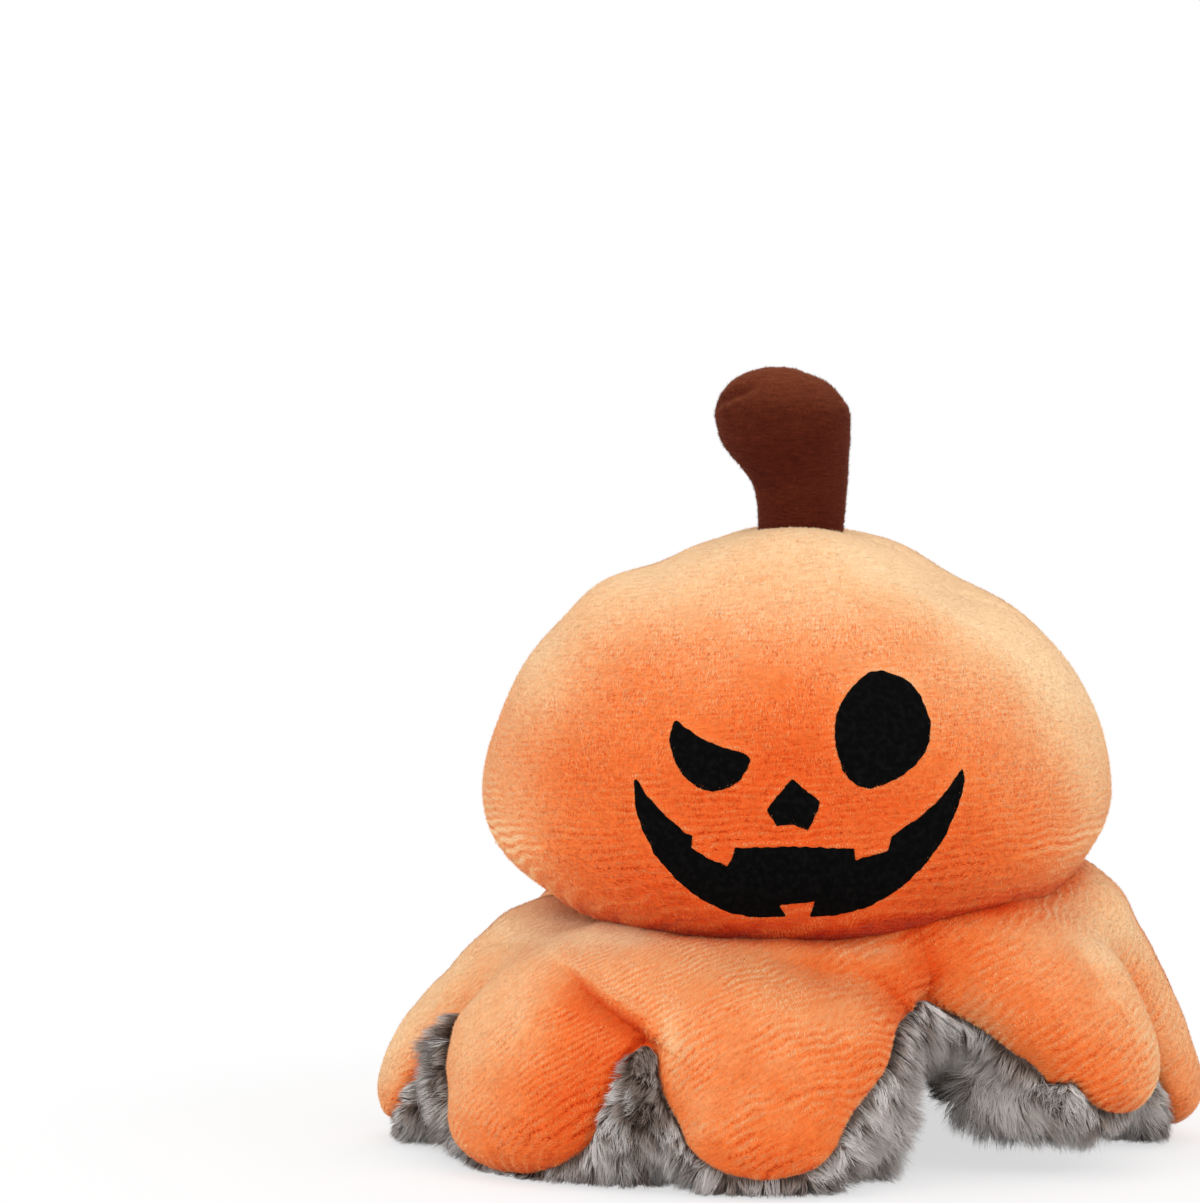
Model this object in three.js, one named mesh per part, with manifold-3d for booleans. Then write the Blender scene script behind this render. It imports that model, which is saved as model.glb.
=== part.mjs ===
// A reversible plush pumpkin on its eight legs, in millimetres, +Z up, face towards -Y.
// Its orange side is out. The grey fur side lines the pocket in the head and the underside.
import * as THREE from "three";
import { mergeVertices } from "three/addons/utils/BufferGeometryUtils.js";
import Module from "manifold-3d";

const wasm = await Module();
wasm.setup();

// Head: a flattened ball on a narrower neck, nodding forward
const headRadius = 77.2;
const widestHeight = 87.5;
const headTop = 150.5;
const domeFullness = 1.9; // superellipse power of the upper half, 2 is a plain ellipse
const headBelly = 44; // half height of the ellipse that the lower half follows
const creaseHeight = 62; // where the head turns in over the skirt
const neckRadius = 47;
const neckHeight = 58.3;
const nod = THREE.MathUtils.degToRad(6);

// Fabrics and the space between pieces
const plushCloth = 2.2;
const furCloth = 3;
const stitchCloth = 0.9;
const layerGap = 0.3;
const creaseGap = 0.8; // between the head and a leg's root, which slides under it
const stemGap = 0.9; // round the stem's base, which tilts in its socket
const rootGap = 0.9; // round a leg's root, which turns in its seat

// Pocket: the grey head, pushed up into the orange one
const pocketRadius = 36;
const pocketWidestHeight = 76;
const pocketTop = 118;
const pocketFullness = 2.2;
const pocketMouthRadius = 29;
const pocketMouthHeight = 42; // where the pocket's fur meets that of the skirt

// Skirt: the ring under the neck that the legs grow from
const skirtRadius = 61;
const skirtBottom = 26;
const skirtSeamHeight = 42;
const skirtShoulder = 3.5; // how far in the skirt's top edge rounds over

// Legs: lobes that swell, droop and taper to a round toe on the floor
const hingeRadius = 62;
const rootRadius = 16;
const kneeDrop = 6; // how far the leg has sunk where it starts to turn down
const toeDroop = THREE.MathUtils.degToRad(67); // how steeply the toe points down
const sectionFullness = 2.4;
const kneeThickness = 31;
const toeThickness = 25;
const toeLength = 12.5; // of the round end past the toe's section
const furStand = 2; // how far the fur stands out past the orange cloth
const rootOverlap = 2.5; // how far the leg's cloth reaches in past its hinge
const furStart = 1.5; // how far outside the hinge its fur starts, which leaves room to droop
const droopRoom = 1.5; // between the skirt's edge and the leg's cloth, for the same
const seamDrop = 5; // the cloths meet this far below the leg's middle line
const seamToeHeight = 6;
const floorCut = 0.5; // depth of the flat that the leg stands on
const toeReach = 88; // of a toe's section from the toy's middle, on a leg of plain length
// Widths of the slimmest leg, at the back, and of the broadest, in front
const slimRoot = 38;
const slimKnee = 44;
const slimToe = 37;
const broadRoot = 42;
const broadKnee = 50;
const broadToe = 40;
// Each leg's turn from the face, counted to the right, its place between slim and broad, and its reach
const legs = [
  makeLegSizes("front", -3, 1, 1.022),
  makeLegSizes("front_right", 57, 0.9, 1),
  makeLegSizes("right", 101, 0.3, 0.99),
  makeLegSizes("back_right", 143, 0, 1),
  makeLegSizes("back", 184, 0, 1.011),
  makeLegSizes("back_left", 226, 0.2, 1.011),
  makeLegSizes("left", 270, 0.3, 1.028),
  makeLegSizes("front_left", 316, 0.35, 1.022),
];

function makeLegSizes(name, azimuth, breadth, length) {
  return {
    name,
    azimuth,
    rootWidth: slimRoot + (broadRoot - slimRoot) * breadth,
    kneeWidth: slimKnee + (broadKnee - slimKnee) * breadth,
    toeWidth: slimToe + (broadToe - slimToe) * breadth,
    toeRadius: toeReach * length,
  };
}
const reach = 250; // of cutting blocks, past every piece

// Stem: a short neck and a bulb that leans to the left of the face
const stemBaseRadius = 10;
const stemNeckHeight = 8;
const stemBulbRadius = 15.8;
const stemBulbHeight = 27.4; // of the bulb's middle above the pivot
const stemHeight = 38.8; // above the pivot
const stemLean = 4.2;
const stemDepth = 0.86; // front to back, as a share of the width
const stemPivotHeight = 150.2;
const stemOffset = 0.7; // to the right of the head's middle
const stemCloth = 1.6;
const stemHem = 0.8; // how far below the pivot the stem's cloth ends

// Face, seen from the front: X to the right and Z up
const faceDepth = 100; // the cutters reach past the head's front
const winkEye = [
  [-28.6, 101.6], [-27.5, 106.9], [-23.3, 103.4], [-18.7, 101.6], [-10.2, 98.1],
  [-12.2, 94.4], [-19.2, 90.8], [-26.3, 95.1],
];
const roundEyeCentre = [20.4, 104.6];
const roundEyeSize = [21, 27.5];
const roundEyeTurn = THREE.MathUtils.degToRad(-12);
const noseShape = [
  [-0.5, 93.5], [5.8, 88.4], [3.2, 82], [-0.2, 83.4], [-3.7, 82.9], [-6.2, 86.4],
];
const smileLeft = [-36.7, 92.6];
const smileRight = [38.8, 95.2];
const upperTeeth = [
  [21.9, 79.2], [21.7, 77.1], [14.3, 75.1], [13.6, 77.6],
  [-13.6, 77.6], [-15.2, 73.4], [-23.5, 77.4], [-23.3, 80.1],
];
const upperLipDips = [[31, 83], [-30, 84]]; // where the lip's curves pull, right and left
const chinLeft = [-26, 68];
const chinRight = [30, 73];
const lowerLipDips = [[-36, 76], [-18, 61], [20, 61.5], [38, 82]];
const lowerTooth = { middle: 0.6, width: 6.6, base: 61.2, height: 3.4 };

// Reverse face, on the back wall of the pocket: [along the wall, height], right is +X
const reverseFace = {
  patch: { place: [-24, 86], size: [38, 35] },
  eye: { place: [19, 77], size: [4, 11] },
  mouth: { place: [-4, 58], size: [21, 7] },
  tongue: { place: [-3, 52.4], size: [13, 5] },
  strapLeft: { from: [-64, 89], to: [-45, 84] },
  strapRight: { from: [-3.5, 88], to: [34, 104] },
};
const strapWidth = 2;

// Faces per turn
const headSides = 28;
const pocketSides = 20;
const legSides = 10;
const rootSides = 12;
const stemSides = 16;
const lobeSteps = 3; // along a leg

const cloths = {
  orange: new THREE.MeshStandardMaterial({ color: 0xf08c50, roughness: 0.9, metalness: 0 }),
  grey: new THREE.MeshStandardMaterial({ color: 0x8f8680, roughness: 0.95, metalness: 0 }),
  brown: new THREE.MeshStandardMaterial({ color: 0x5a2a18, roughness: 0.9, metalness: 0 }),
  black: new THREE.MeshStandardMaterial({ color: 0x0d0d0c, roughness: 0.7, metalness: 0 }),
  pink: new THREE.MeshStandardMaterial({ color: 0xd9957f, roughness: 0.75, metalness: 0 }),
  stuffing: new THREE.MeshStandardMaterial({ color: 0xf2efe8, roughness: 1, metalness: 0 }),
};

// Solids: a closed geometry becomes one, and a finished one becomes a named mesh
function solid(geometry, matrix = new THREE.Matrix4()) {
  const bare = geometry.clone().applyMatrix4(matrix);
  bare.deleteAttribute("normal");
  bare.deleteAttribute("uv");
  const merged = mergeVertices(bare, 1e-4);
  return new wasm.Manifold(
    new wasm.Mesh({
      numProp: 3,
      vertProperties: merged.attributes.position.array,
      triVerts: new Uint32Array(merged.index.array),
    }),
  );
}

function meshOf(name, shape, material) {
  const { vertProperties, triVerts } = shape.getMesh();
  const geometry = new THREE.BufferGeometry();
  geometry.setAttribute("position", new THREE.BufferAttribute(vertProperties, 3));
  geometry.setIndex(new THREE.BufferAttribute(triVerts, 1));
  geometry.computeVertexNormals();
  const mesh = new THREE.Mesh(geometry, material);
  mesh.name = name;
  return mesh;
}

// A box from its lowest to its highest corner
function block([x0, y0, z0], [x1, y1, z1]) {
  const geometry = new THREE.BoxGeometry(x1 - x0, y1 - y0, z1 - z0);
  return geometry.translate((x0 + x1) / 2, (y0 + y1) / 2, (z0 + z1) / 2);
}

// A profile of [radius, height] points turned about the vertical axis, faces out
function turned(points, sides) {
  const profile = points.map(([radius, height]) => new THREE.Vector2(radius, height));
  if (THREE.ShapeUtils.area(profile) < 0) profile.reverse();
  return new THREE.LatheGeometry(profile, sides).rotateX(Math.PI / 2);
}

// Rings of points that share a count, joined from the first to the last, each end closed by a fan
function lofted(rings) {
  const sides = rings[0].length;
  const position = rings.flat().flatMap((point) => point.toArray());
  const ends = [rings[0], rings[rings.length - 1]].map((ring) =>
    ring.reduce((sum, point) => sum.add(point), new THREE.Vector3()).divideScalar(sides),
  );
  ends.forEach((point) => position.push(...point.toArray()));
  const first = rings.length * sides;
  const index = [];
  for (let side = 0; side < sides; side++) {
    const next = (side + 1) % sides;
    for (let ring = 0; ring + 1 < rings.length; ring++) {
      const a = ring * sides + side;
      const b = ring * sides + next;
      index.push(a, b, b + sides, a, b + sides, a + sides);
    }
    const last = (rings.length - 1) * sides;
    index.push(first, next, side, first + 1, last + side, last + next);
  }
  const geometry = new THREE.BufferGeometry();
  geometry.setAttribute("position", new THREE.Float32BufferAttribute(position, 3));
  geometry.setIndex(index);
  return geometry;
}

// Radius on a superellipse at a share of its half height
function bulge(share, power) {
  return Math.pow(Math.max(0, 1 - Math.pow(Math.abs(share), power)), 1 / power);
}

// The frame of the head, pocket and skirt, which nod together about the neck
const toy = new THREE.Group();
const nodding = new THREE.Group();
nodding.position.z = creaseHeight;
nodding.rotation.x = nod;
const body = new THREE.Group();
body.position.z = -creaseHeight;
toy.add(nodding);
nodding.add(body);
toy.updateMatrixWorld(true);
const intoBody = body.matrixWorld.clone().invert();

// Head outline from the rim of the stem's seat down to the crease, moved out by grow
function headOutline(grow) {
  const rise = headTop - widestHeight;
  const points = [];
  const topAngle = Math.acos(stemBaseRadius / 2 / headRadius);
  for (let step = 0; step <= 6; step++) {
    const angle = topAngle * (1 - step / 6);
    const share = Math.sin(angle);
    const radius = (headRadius + grow) * bulge(share, domeFullness);
    points.push([radius, widestHeight + (rise + grow) * share]);
  }
  const lowest = widestHeight - creaseHeight;
  for (let step = 1; step <= 2; step++) {
    const share = (lowest * step) / 2 / headBelly;
    points.push([(headRadius + grow) * bulge(share, 2), widestHeight - headBelly * share]);
  }
  return points;
}

function underHead(radius) {
  const creaseRadius = headRadius * bulge((widestHeight - creaseHeight) / headBelly, 2);
  const share = (radius - neckRadius) / (creaseRadius - neckRadius);
  return neckHeight + (creaseHeight - neckHeight) * share;
}

function pocketOutline(grow) {
  const points = [];
  for (let step = 0; step <= 5; step++) {
    const share = Math.sin((Math.PI / 2) * (1 - step / 5));
    const radius = (pocketRadius + grow) * bulge(share, pocketFullness);
    const rise = (pocketTop - pocketWidestHeight + grow) * share;
    points.push([radius, pocketWidestHeight + rise]);
  }
  points[0][0] = 0;
  points.push([pocketMouthRadius + grow, pocketMouthHeight]);
  return points;
}

// Where the pocket's outline passes a height between its mouth and its widest place
function pocketRadiusAt(height, grow) {
  const share = (height - pocketMouthHeight) / (pocketWidestHeight - pocketMouthHeight);
  return pocketMouthRadius + grow + (pocketRadius - pocketMouthRadius) * share;
}

const stemPivot = new THREE.Vector3(stemOffset, 0, stemPivotHeight);
function stemBall(radius) {
  const ball = new THREE.SphereGeometry(radius, stemSides, stemSides / 2);
  return solid(ball.rotateX(Math.PI / 2).translate(...stemPivot.toArray()));
}

function makeHead() {
  const socket = stemBall(stemBaseRadius + stemGap);
  const outer = headOutline(0);
  const inner = headOutline(-plushCloth).reverse();
  const neckEdge = [neckRadius, neckHeight];
  const neckInside = [neckRadius - plushCloth, neckHeight];
  const turnedIn = [inner[0][0], underHead(inner[0][0]) + plushCloth];
  inner[0] = turnedIn;
  const profile = [...outer, neckEdge, neckInside, ...inner];
  profile.push(profile[0]);
  const cloth = solid(turned(profile, headSides)).subtract(socket);
  const behind = solid(block([-reach, -layerGap / 2, 0], [reach, reach, reach]));
  const before = solid(block([-reach, -reach, 0], [reach, layerGap / 2, reach]));
  body.add(meshOf("head_front_panel", cloth.subtract(behind), cloths.orange));
  body.add(meshOf("head_back_panel", cloth.subtract(before), cloths.orange));

  const grow = plushCloth + layerGap;
  const stuffed = headOutline(-grow);
  stuffed.unshift([0, stuffed[0][1]]);
  const last = stuffed.length - 1;
  stuffed[last] = [stuffed[last][0], underHead(stuffed[last][0]) + grow];
  const pocket = pocketOutline(furCloth + layerGap).reverse();
  pocket[0] = [pocketRadiusAt(neckHeight, furCloth + layerGap), neckHeight];
  const edge = neckRadius - grow;
  const fill = [...stuffed, [edge, neckHeight + layerGap], [edge, neckHeight], ...pocket];
  const filled = solid(turned(fill, headSides)).subtract(socket);
  body.add(meshOf("head_fill", filled, cloths.stuffing));

  const lining = [...pocketOutline(furCloth), ...pocketOutline(0).reverse()];
  body.add(meshOf("pocket_lining", solid(turned(lining, pocketSides)), cloths.grey));
}

// A smooth band that lies just over the head, which the face shapes are cut from
function makeFace() {
  const low = headOutline(layerGap);
  const high = headOutline(layerGap + stitchCloth);
  const band = [...low.reverse(), ...high];
  band.push(band[0]);
  const cover = solid(turned(band, headSides));
  const cutter = (shape) => {
    const extruded = new THREE.ExtrudeGeometry(shape, {
      depth: faceDepth,
      bevelEnabled: false,
      curveSegments: 6,
    });
    return solid(extruded.rotateX(Math.PI / 2), intoBody);
  };
  const cut = (name, shape) =>
    body.add(meshOf(name, cover.intersect(cutter(shape)), cloths.black));
  const outline = (points) => new THREE.Shape(points.map(([x, z]) => new THREE.Vector2(x, z)));

  cut("eye_wink_embroidery", outline(winkEye));
  cut("nose_embroidery", outline(noseShape));
  const eye = new THREE.Shape();
  const [eyeX, eyeZ] = roundEyeCentre;
  const [eyeWide, eyeTall] = roundEyeSize;
  eye.absellipse(eyeX, eyeZ, eyeWide / 2, eyeTall / 2, 0, 2 * Math.PI, false, roundEyeTurn);
  cut("eye_round_embroidery", eye);

  const mouth = new THREE.Shape();
  const curve = (pull, end) => mouth.quadraticCurveTo(...pull, ...end);
  const { middle, width, base, height } = lowerTooth;
  mouth.moveTo(...smileLeft);
  curve(lowerLipDips[0], chinLeft);
  curve(lowerLipDips[1], [middle - width / 2, base]);
  mouth.lineTo(middle - width / 2, base + height);
  mouth.lineTo(middle + width / 2, base + height);
  mouth.lineTo(middle + width / 2, base);
  curve(lowerLipDips[2], chinRight);
  curve(lowerLipDips[3], smileRight);
  curve(upperLipDips[0], upperTeeth[0]);
  upperTeeth.slice(1).forEach((point) => mouth.lineTo(...point));
  curve(upperLipDips[1], smileLeft);
  cut("mouth_embroidery", mouth);
}

// The reverse face is cut from a band inside the pocket, by prisms that run out from its axis
function makeReverseFace() {
  const near = pocketOutline(-layerGap);
  const far = pocketOutline(-layerGap - stitchCloth).reverse();
  const band = solid(turned([...near, ...far], pocketSides));
  const alongWall = ([along, height], radius) => {
    const turn = along / pocketRadius;
    return new THREE.Vector3(radius * Math.sin(turn), radius * Math.cos(turn), height);
  };
  const prism = (outline) => {
    const rings = [1.2 * pocketRadius, 0.6 * pocketRadius].map((radius) =>
      outline.map((point) => alongWall(point, radius)),
    );
    return solid(lofted(rings));
  };
  const add = (name, shape, material) => body.add(meshOf(name, band.intersect(shape), material));
  const arc = ({ place, size }, from, to, steps) => {
    const points = [];
    for (let step = 0; step <= steps; step++) {
      const angle = from + ((to - from) * step) / steps;
      const along = (size[0] / 2) * Math.cos(angle);
      points.push([place[0] + along, place[1] + size[1] * Math.sin(angle)]);
    }
    return points;
  };
  const oval = ({ place, size }, steps) =>
    arc({ place, size: [size[0], size[1] / 2] }, 0, 2 * Math.PI, steps).slice(0, -1);
  const strip = ({ from, to }) => {
    const steps = 8;
    const points = [];
    for (let step = 0; step <= steps; step++) {
      const share = step / steps;
      const along = from[0] + (to[0] - from[0]) * share;
      points.push([along, from[1] + (to[1] - from[1]) * share - strapWidth / 2]);
    }
    const upper = points.map(([along, height]) => [along, height + strapWidth]);
    return [...points, ...upper.reverse()];
  };
  const { patch, eye, mouth, tongue, strapLeft, strapRight } = reverseFace;
  const roundTongue = { ...tongue, size: tongue.size.map((size) => size + 2 * layerGap) };
  const lips = prism(arc(mouth, Math.PI, 2 * Math.PI, 8)).subtract(prism(oval(roundTongue, 8)));
  add("reverse_eye_patch", prism(oval(patch, 16)), cloths.black);
  add("reverse_eye", prism(oval(eye, 8)), cloths.black);
  add("reverse_mouth", lips, cloths.black);
  add("reverse_tongue", prism(oval(tongue, 8)), cloths.pink);
  add("reverse_strap_left", prism(strip(strapLeft)), cloths.black);
  add("reverse_strap_right", prism(strip(strapRight)), cloths.black);
}

// Skirt: three rings between the neck and the legs, with a seat cut for each leg's root
function makeSkirt(seats) {
  const ring = (name, profile, material) => {
    const closed = [...profile, profile[0]];
    let shape = solid(turned(closed, headSides));
    seats.forEach((seat) => {
      shape = shape.subtract(seat);
    });
    body.add(meshOf(name, shape, material));
  };
  const top = neckHeight - layerGap;
  const shoulder = skirtRadius - skirtShoulder;
  const brim = underHead(shoulder) - creaseGap;
  const edge = brim - 2 * skirtShoulder;
  const seam = skirtSeamHeight + layerGap;
  ring(
    "skirt_skin",
    [
      [neckRadius, top], [shoulder, brim], [skirtRadius, edge], [skirtRadius, seam],
      [skirtRadius - plushCloth, seam], [skirtRadius - plushCloth, edge - 1],
      [shoulder - plushCloth / 2, brim - plushCloth], [neckRadius, top - plushCloth],
    ],
    cloths.orange,
  );
  const cloth = plushCloth + layerGap;
  const fur = furCloth + layerGap;
  const under = skirtBottom + fur;
  const mouth = pocketMouthRadius + fur;
  ring(
    "skirt_fill",
    [
      [pocketRadiusAt(top, fur), top], [neckRadius - layerGap, top],
      [neckRadius - layerGap, top - cloth], [shoulder - cloth / 2, brim - cloth],
      [skirtRadius - cloth, edge - 1.2], [skirtRadius - cloth, skirtSeamHeight],
      [shoulder - fur, under + 1], [neckRadius, under], [mouth, under], [mouth, pocketMouthHeight],
    ],
    cloths.stuffing,
  );
  const lip = pocketMouthHeight - layerGap;
  ring(
    "skirt_lining",
    [
      [pocketMouthRadius, skirtBottom + furCloth], [pocketMouthRadius + furCloth / 2, skirtBottom],
      [shoulder - furCloth, skirtBottom], [shoulder, skirtBottom + furCloth],
      [skirtRadius, skirtSeamHeight], [skirtRadius - plushCloth, skirtSeamHeight],
      [shoulder - furCloth, under + 0.4], [neckRadius, skirtBottom + furCloth],
      [pocketMouthRadius + furCloth, skirtBottom + furCloth],
      [pocketMouthRadius + furCloth, lip], [pocketMouthRadius, lip],
    ],
    cloths.grey,
  );
}

// A leg in its own frame: X points out from the toy, Y along its width, and the hinge runs along Y
function legFrame(leg) {
  const frame = new THREE.Group();
  frame.rotation.z = THREE.MathUtils.degToRad(leg.azimuth - 90);
  toy.add(frame);
  frame.updateMatrixWorld(true);
  return frame;
}

function hingeHeight(leg) {
  const tilt = Math.tan(nod) * Math.cos(THREE.MathUtils.degToRad(leg.azimuth));
  return underHead(hingeRadius) - creaseGap - rootRadius - hingeRadius * tilt;
}

// The middle line, from the hinge out and down to the toe's section
function spineOf(leg, toeHeight) {
  const root = hingeHeight(leg);
  const kneeHeight = root - kneeDrop;
  const kneeRadius = leg.toeRadius - (kneeHeight - toeHeight) / Math.tan(toeDroop);
  return new THREE.QuadraticBezierCurve3(
    new THREE.Vector3(hingeRadius, 0, root),
    new THREE.Vector3(kneeRadius, 0, kneeHeight),
    new THREE.Vector3(leg.toeRadius, 0, toeHeight),
  );
}

// The section's rim as [across, up] shares of its half width and half thickness
function rim(angle) {
  const power = 2 / sectionFullness;
  const across = Math.sign(Math.cos(angle)) * Math.pow(Math.abs(Math.cos(angle)), power);
  const up = Math.sign(Math.sin(angle)) * Math.pow(Math.abs(Math.sin(angle)), power);
  return [across, up];
}

// The lobe from a little behind the hinge to the toe, moved out by grow
function lobe(leg, grow, toeHeight, behind = rootOverlap) {
  const spine = spineOf(leg, toeHeight);
  const rings = [];
  const across = new THREE.Vector3(0, 1, 0);
  const outward = new THREE.Vector3(1, 0, 0);
  const addRing = (centre, tangent, width, thickness) => {
    const up = new THREE.Vector3().crossVectors(tangent, across);
    const ring = [];
    for (let side = 0; side < legSides; side++) {
      const [right, high] = rim((2 * Math.PI * side) / legSides);
      const point = centre.clone().addScaledVector(across, right * width);
      ring.push(point.addScaledVector(up, high * thickness));
    }
    rings.push(ring);
  };
  const blend = (t, root, knee, toe) => {
    const early = 2 * t;
    return t < 0.5 ? root + (knee - root) * early : knee + (toe - knee) * (early - 1);
  };
  for (let step = 0; step <= lobeSteps; step++) {
    const t = step / lobeSteps;
    const width = blend(t, leg.rootWidth, leg.kneeWidth, leg.toeWidth) / 2 + grow;
    const thickness = blend(t, 2 * rootRadius, kneeThickness, toeThickness) / 2 + grow;
    const centre = spine.getPoint(t);
    if (step === 0) centre.x -= behind;
    addRing(centre, step === 0 ? outward : spine.getTangent(t), width, thickness);
  }
  const toe = spine.getPoint(1);
  const down = spine.getTangent(1);
  [0.55, 0.92].forEach((share) => {
    const centre = toe.clone().addScaledVector(down, (toeLength + grow) * share);
    const round = bulge(share, 2);
    addRing(centre, down, (leg.toeWidth / 2 + grow) * round, (toeThickness / 2 + grow) * round);
  });
  return lofted(rings);
}

// The barrel-shaped root, round about the hinge, so that it stays in its seat as the leg bends
function root(leg, grow) {
  const profile = [];
  for (let side = 0; side <= legSides / 2; side++) {
    const [up, high] = rim(Math.PI * (side / (legSides / 2)) - Math.PI / 2);
    profile.push(new THREE.Vector2(up * (rootRadius + grow), high * (leg.rootWidth / 2 + grow)));
  }
  profile[0].x = 0;
  profile[profile.length - 1].x = 0;
  return new THREE.LatheGeometry(profile, rootSides).translate(hingeRadius, 0, hingeHeight(leg));
}

// The height that sinks the furred toe floorCut below the floor, found by lowering it in steps
function toeHeightOf(leg) {
  let height = toeLength;
  for (let pass = 0; pass < 4; pass++) {
    const form = lobe(leg, furStand, height);
    form.computeBoundingBox();
    height -= form.boundingBox.min.z + floorCut;
  }
  return height;
}

// Everything below the line where the orange cloth meets the fur, moved down by drop
function belowSeam(leg, drop) {
  const spine = spineOf(leg, toeHeightOf(leg));
  const knee = spine.v1;
  const height = spine.v0.z - seamDrop - drop;
  const inner = hingeRadius - 2 * rootRadius;
  const outer = leg.toeRadius + 2 * toeLength;
  const line = new THREE.Shape();
  line.moveTo(inner, height);
  line.lineTo(hingeRadius, height);
  const bend = [knee.x - seamDrop / 2, knee.z - seamDrop - drop];
  line.quadraticCurveTo(...bend, leg.toeRadius, seamToeHeight - drop);
  line.lineTo(outer, seamToeHeight / 2 - drop);
  line.lineTo(outer, -toeLength);
  line.lineTo(inner, -toeLength);
  const prism = new THREE.ExtrudeGeometry(line, {
    depth: 2 * leg.kneeWidth,
    bevelEnabled: false,
    curveSegments: 4,
  });
  return solid(prism.translate(0, 0, -leg.kneeWidth).rotateX(Math.PI / 2));
}

function makeLeg(leg) {
  const frame = legFrame(leg);
  const clothEdge = hingeRadius - rootOverlap;
  const inside = solid(block([0, -reach, -reach], [hingeRadius + furStart, reach, reach]));
  const behindEdge = solid(block([0, -reach, -reach], [clothEdge - layerGap, reach, reach]));
  const underFloor = solid(block([0, -reach, -reach], [reach, reach, 0]));
  const toeHeight = toeHeightOf(leg);
  const form = (grow, behind) => solid(lobe(leg, grow, toeHeight, behind));
  const hollow = form(-plushCloth, 2 * rootOverlap);
  const skin = form(0).subtract(hollow).subtract(belowSeam(leg, 0));
  const furred = form(furStand).subtract(hollow).subtract(inside);
  const lining = furred.intersect(belowSeam(leg, layerGap));
  const core = form(-plushCloth - layerGap, 2 * rootOverlap);
  const fill = core.add(solid(root(leg, 0)).intersect(behindEdge));
  const add = (part, shape, material) =>
    frame.add(meshOf(`leg_${leg.name}_${part}`, shape.subtract(underFloor), material));
  add("skin", skin, cloths.orange);
  add("lining", lining, cloths.grey);
  add("fill", fill, cloths.stuffing);
  return frame;
}

// The seat in the skirt for one leg's root, and the open space outside it for the leg itself
function legSeat(leg, frame) {
  const matrix = intoBody.clone().multiply(frame.matrixWorld);
  const half = leg.kneeWidth / 2 + furStand + rootGap;
  const edge = hingeRadius - rootOverlap - droopRoom;
  const open = block([edge, -half, -reach], [reach, half, reach]);
  return solid(root(leg, rootGap), matrix).add(solid(open, matrix));
}

// Stem: rings from the ball in its socket up to the leaning bulb
function stemRings(grow) {
  const rings = [];
  const levels = 9;
  for (let level = 0; level <= levels; level++) {
    const angle = (level / levels) * (Math.PI / 2);
    const above = (stemHeight + stemHem + grow) * Math.sin(angle) - stemHem;
    const rise = THREE.MathUtils.smoothstep(above, stemNeckHeight / 2, stemBulbHeight);
    const swell = stemBaseRadius + (stemBulbRadius - stemBaseRadius) * rise;
    const crown = Math.max(0, (above - stemBulbHeight) / (stemHeight + grow - stemBulbHeight));
    const radius = Math.max(0.6, (swell + grow) * bulge(crown, 2.2));
    const ring = [];
    for (let side = 0; side < stemSides; side++) {
      const turn = (2 * Math.PI * side) / stemSides;
      const x = stemPivot.x - stemLean * rise + radius * Math.cos(turn);
      const depth = 1 + (stemDepth - 1) * rise;
      ring.push(new THREE.Vector3(x, radius * depth * Math.sin(turn), stemPivot.z + above));
    }
    rings.push(ring);
  }
  return rings;
}

// The cloth ends at a hem, below which the ball of stuffing sits in its socket
function makeStem() {
  const outer = solid(lofted(stemRings(0)));
  const inner = solid(lofted(stemRings(-stemCloth)));
  const core = solid(lofted(stemRings(-stemCloth - layerGap)));
  const upTo = (height) => solid(block([-reach, -reach, 0], [reach, reach, height]));
  const hem = stemPivot.z - stemHem;
  const skin = outer.subtract(inner).subtract(upTo(hem + layerGap / 2));
  body.add(meshOf("stem_skin", skin, cloths.brown));
  const base = stemBall(stemBaseRadius).intersect(upTo(hem - layerGap / 2));
  const plug = stemBall(stemBaseRadius - stemCloth - layerGap);
  body.add(meshOf("stem_fill", core.add(base).add(plug), cloths.stuffing));
}

makeHead();
makeFace();
makeReverseFace();
const legFrames = legs.map(makeLeg);
makeSkirt(legs.map((leg, index) => legSeat(leg, legFrames[index])));
makeStem();

// The origin lies on the floor below the middle of the toy
const space = new THREE.Box3().setFromObject(toy);
toy.position.x -= (space.min.x + space.max.x) / 2;
toy.position.y -= (space.min.y + space.max.y) / 2;

export default toy;
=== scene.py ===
import math

import bmesh
import bpy
import numpy as np
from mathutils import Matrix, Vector
from mathutils.bvhtree import BVHTree
from mathutils.kdtree import KDTree


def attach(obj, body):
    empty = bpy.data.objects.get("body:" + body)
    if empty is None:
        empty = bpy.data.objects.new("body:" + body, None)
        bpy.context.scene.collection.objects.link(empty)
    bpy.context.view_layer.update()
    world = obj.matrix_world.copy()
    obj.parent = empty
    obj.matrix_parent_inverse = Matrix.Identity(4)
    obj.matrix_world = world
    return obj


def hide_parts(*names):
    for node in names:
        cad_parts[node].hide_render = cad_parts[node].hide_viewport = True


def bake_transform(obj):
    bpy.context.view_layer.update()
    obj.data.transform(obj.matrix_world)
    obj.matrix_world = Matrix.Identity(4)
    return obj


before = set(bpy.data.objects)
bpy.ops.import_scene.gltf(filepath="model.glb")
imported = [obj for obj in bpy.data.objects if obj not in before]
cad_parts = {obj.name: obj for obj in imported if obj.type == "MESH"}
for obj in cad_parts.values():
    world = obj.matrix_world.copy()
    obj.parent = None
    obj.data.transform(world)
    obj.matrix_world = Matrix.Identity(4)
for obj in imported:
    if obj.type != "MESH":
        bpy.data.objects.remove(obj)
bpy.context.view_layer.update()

# Lengths in this file are millimetres and become metres as a mesh is made
mm = 0.001
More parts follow.
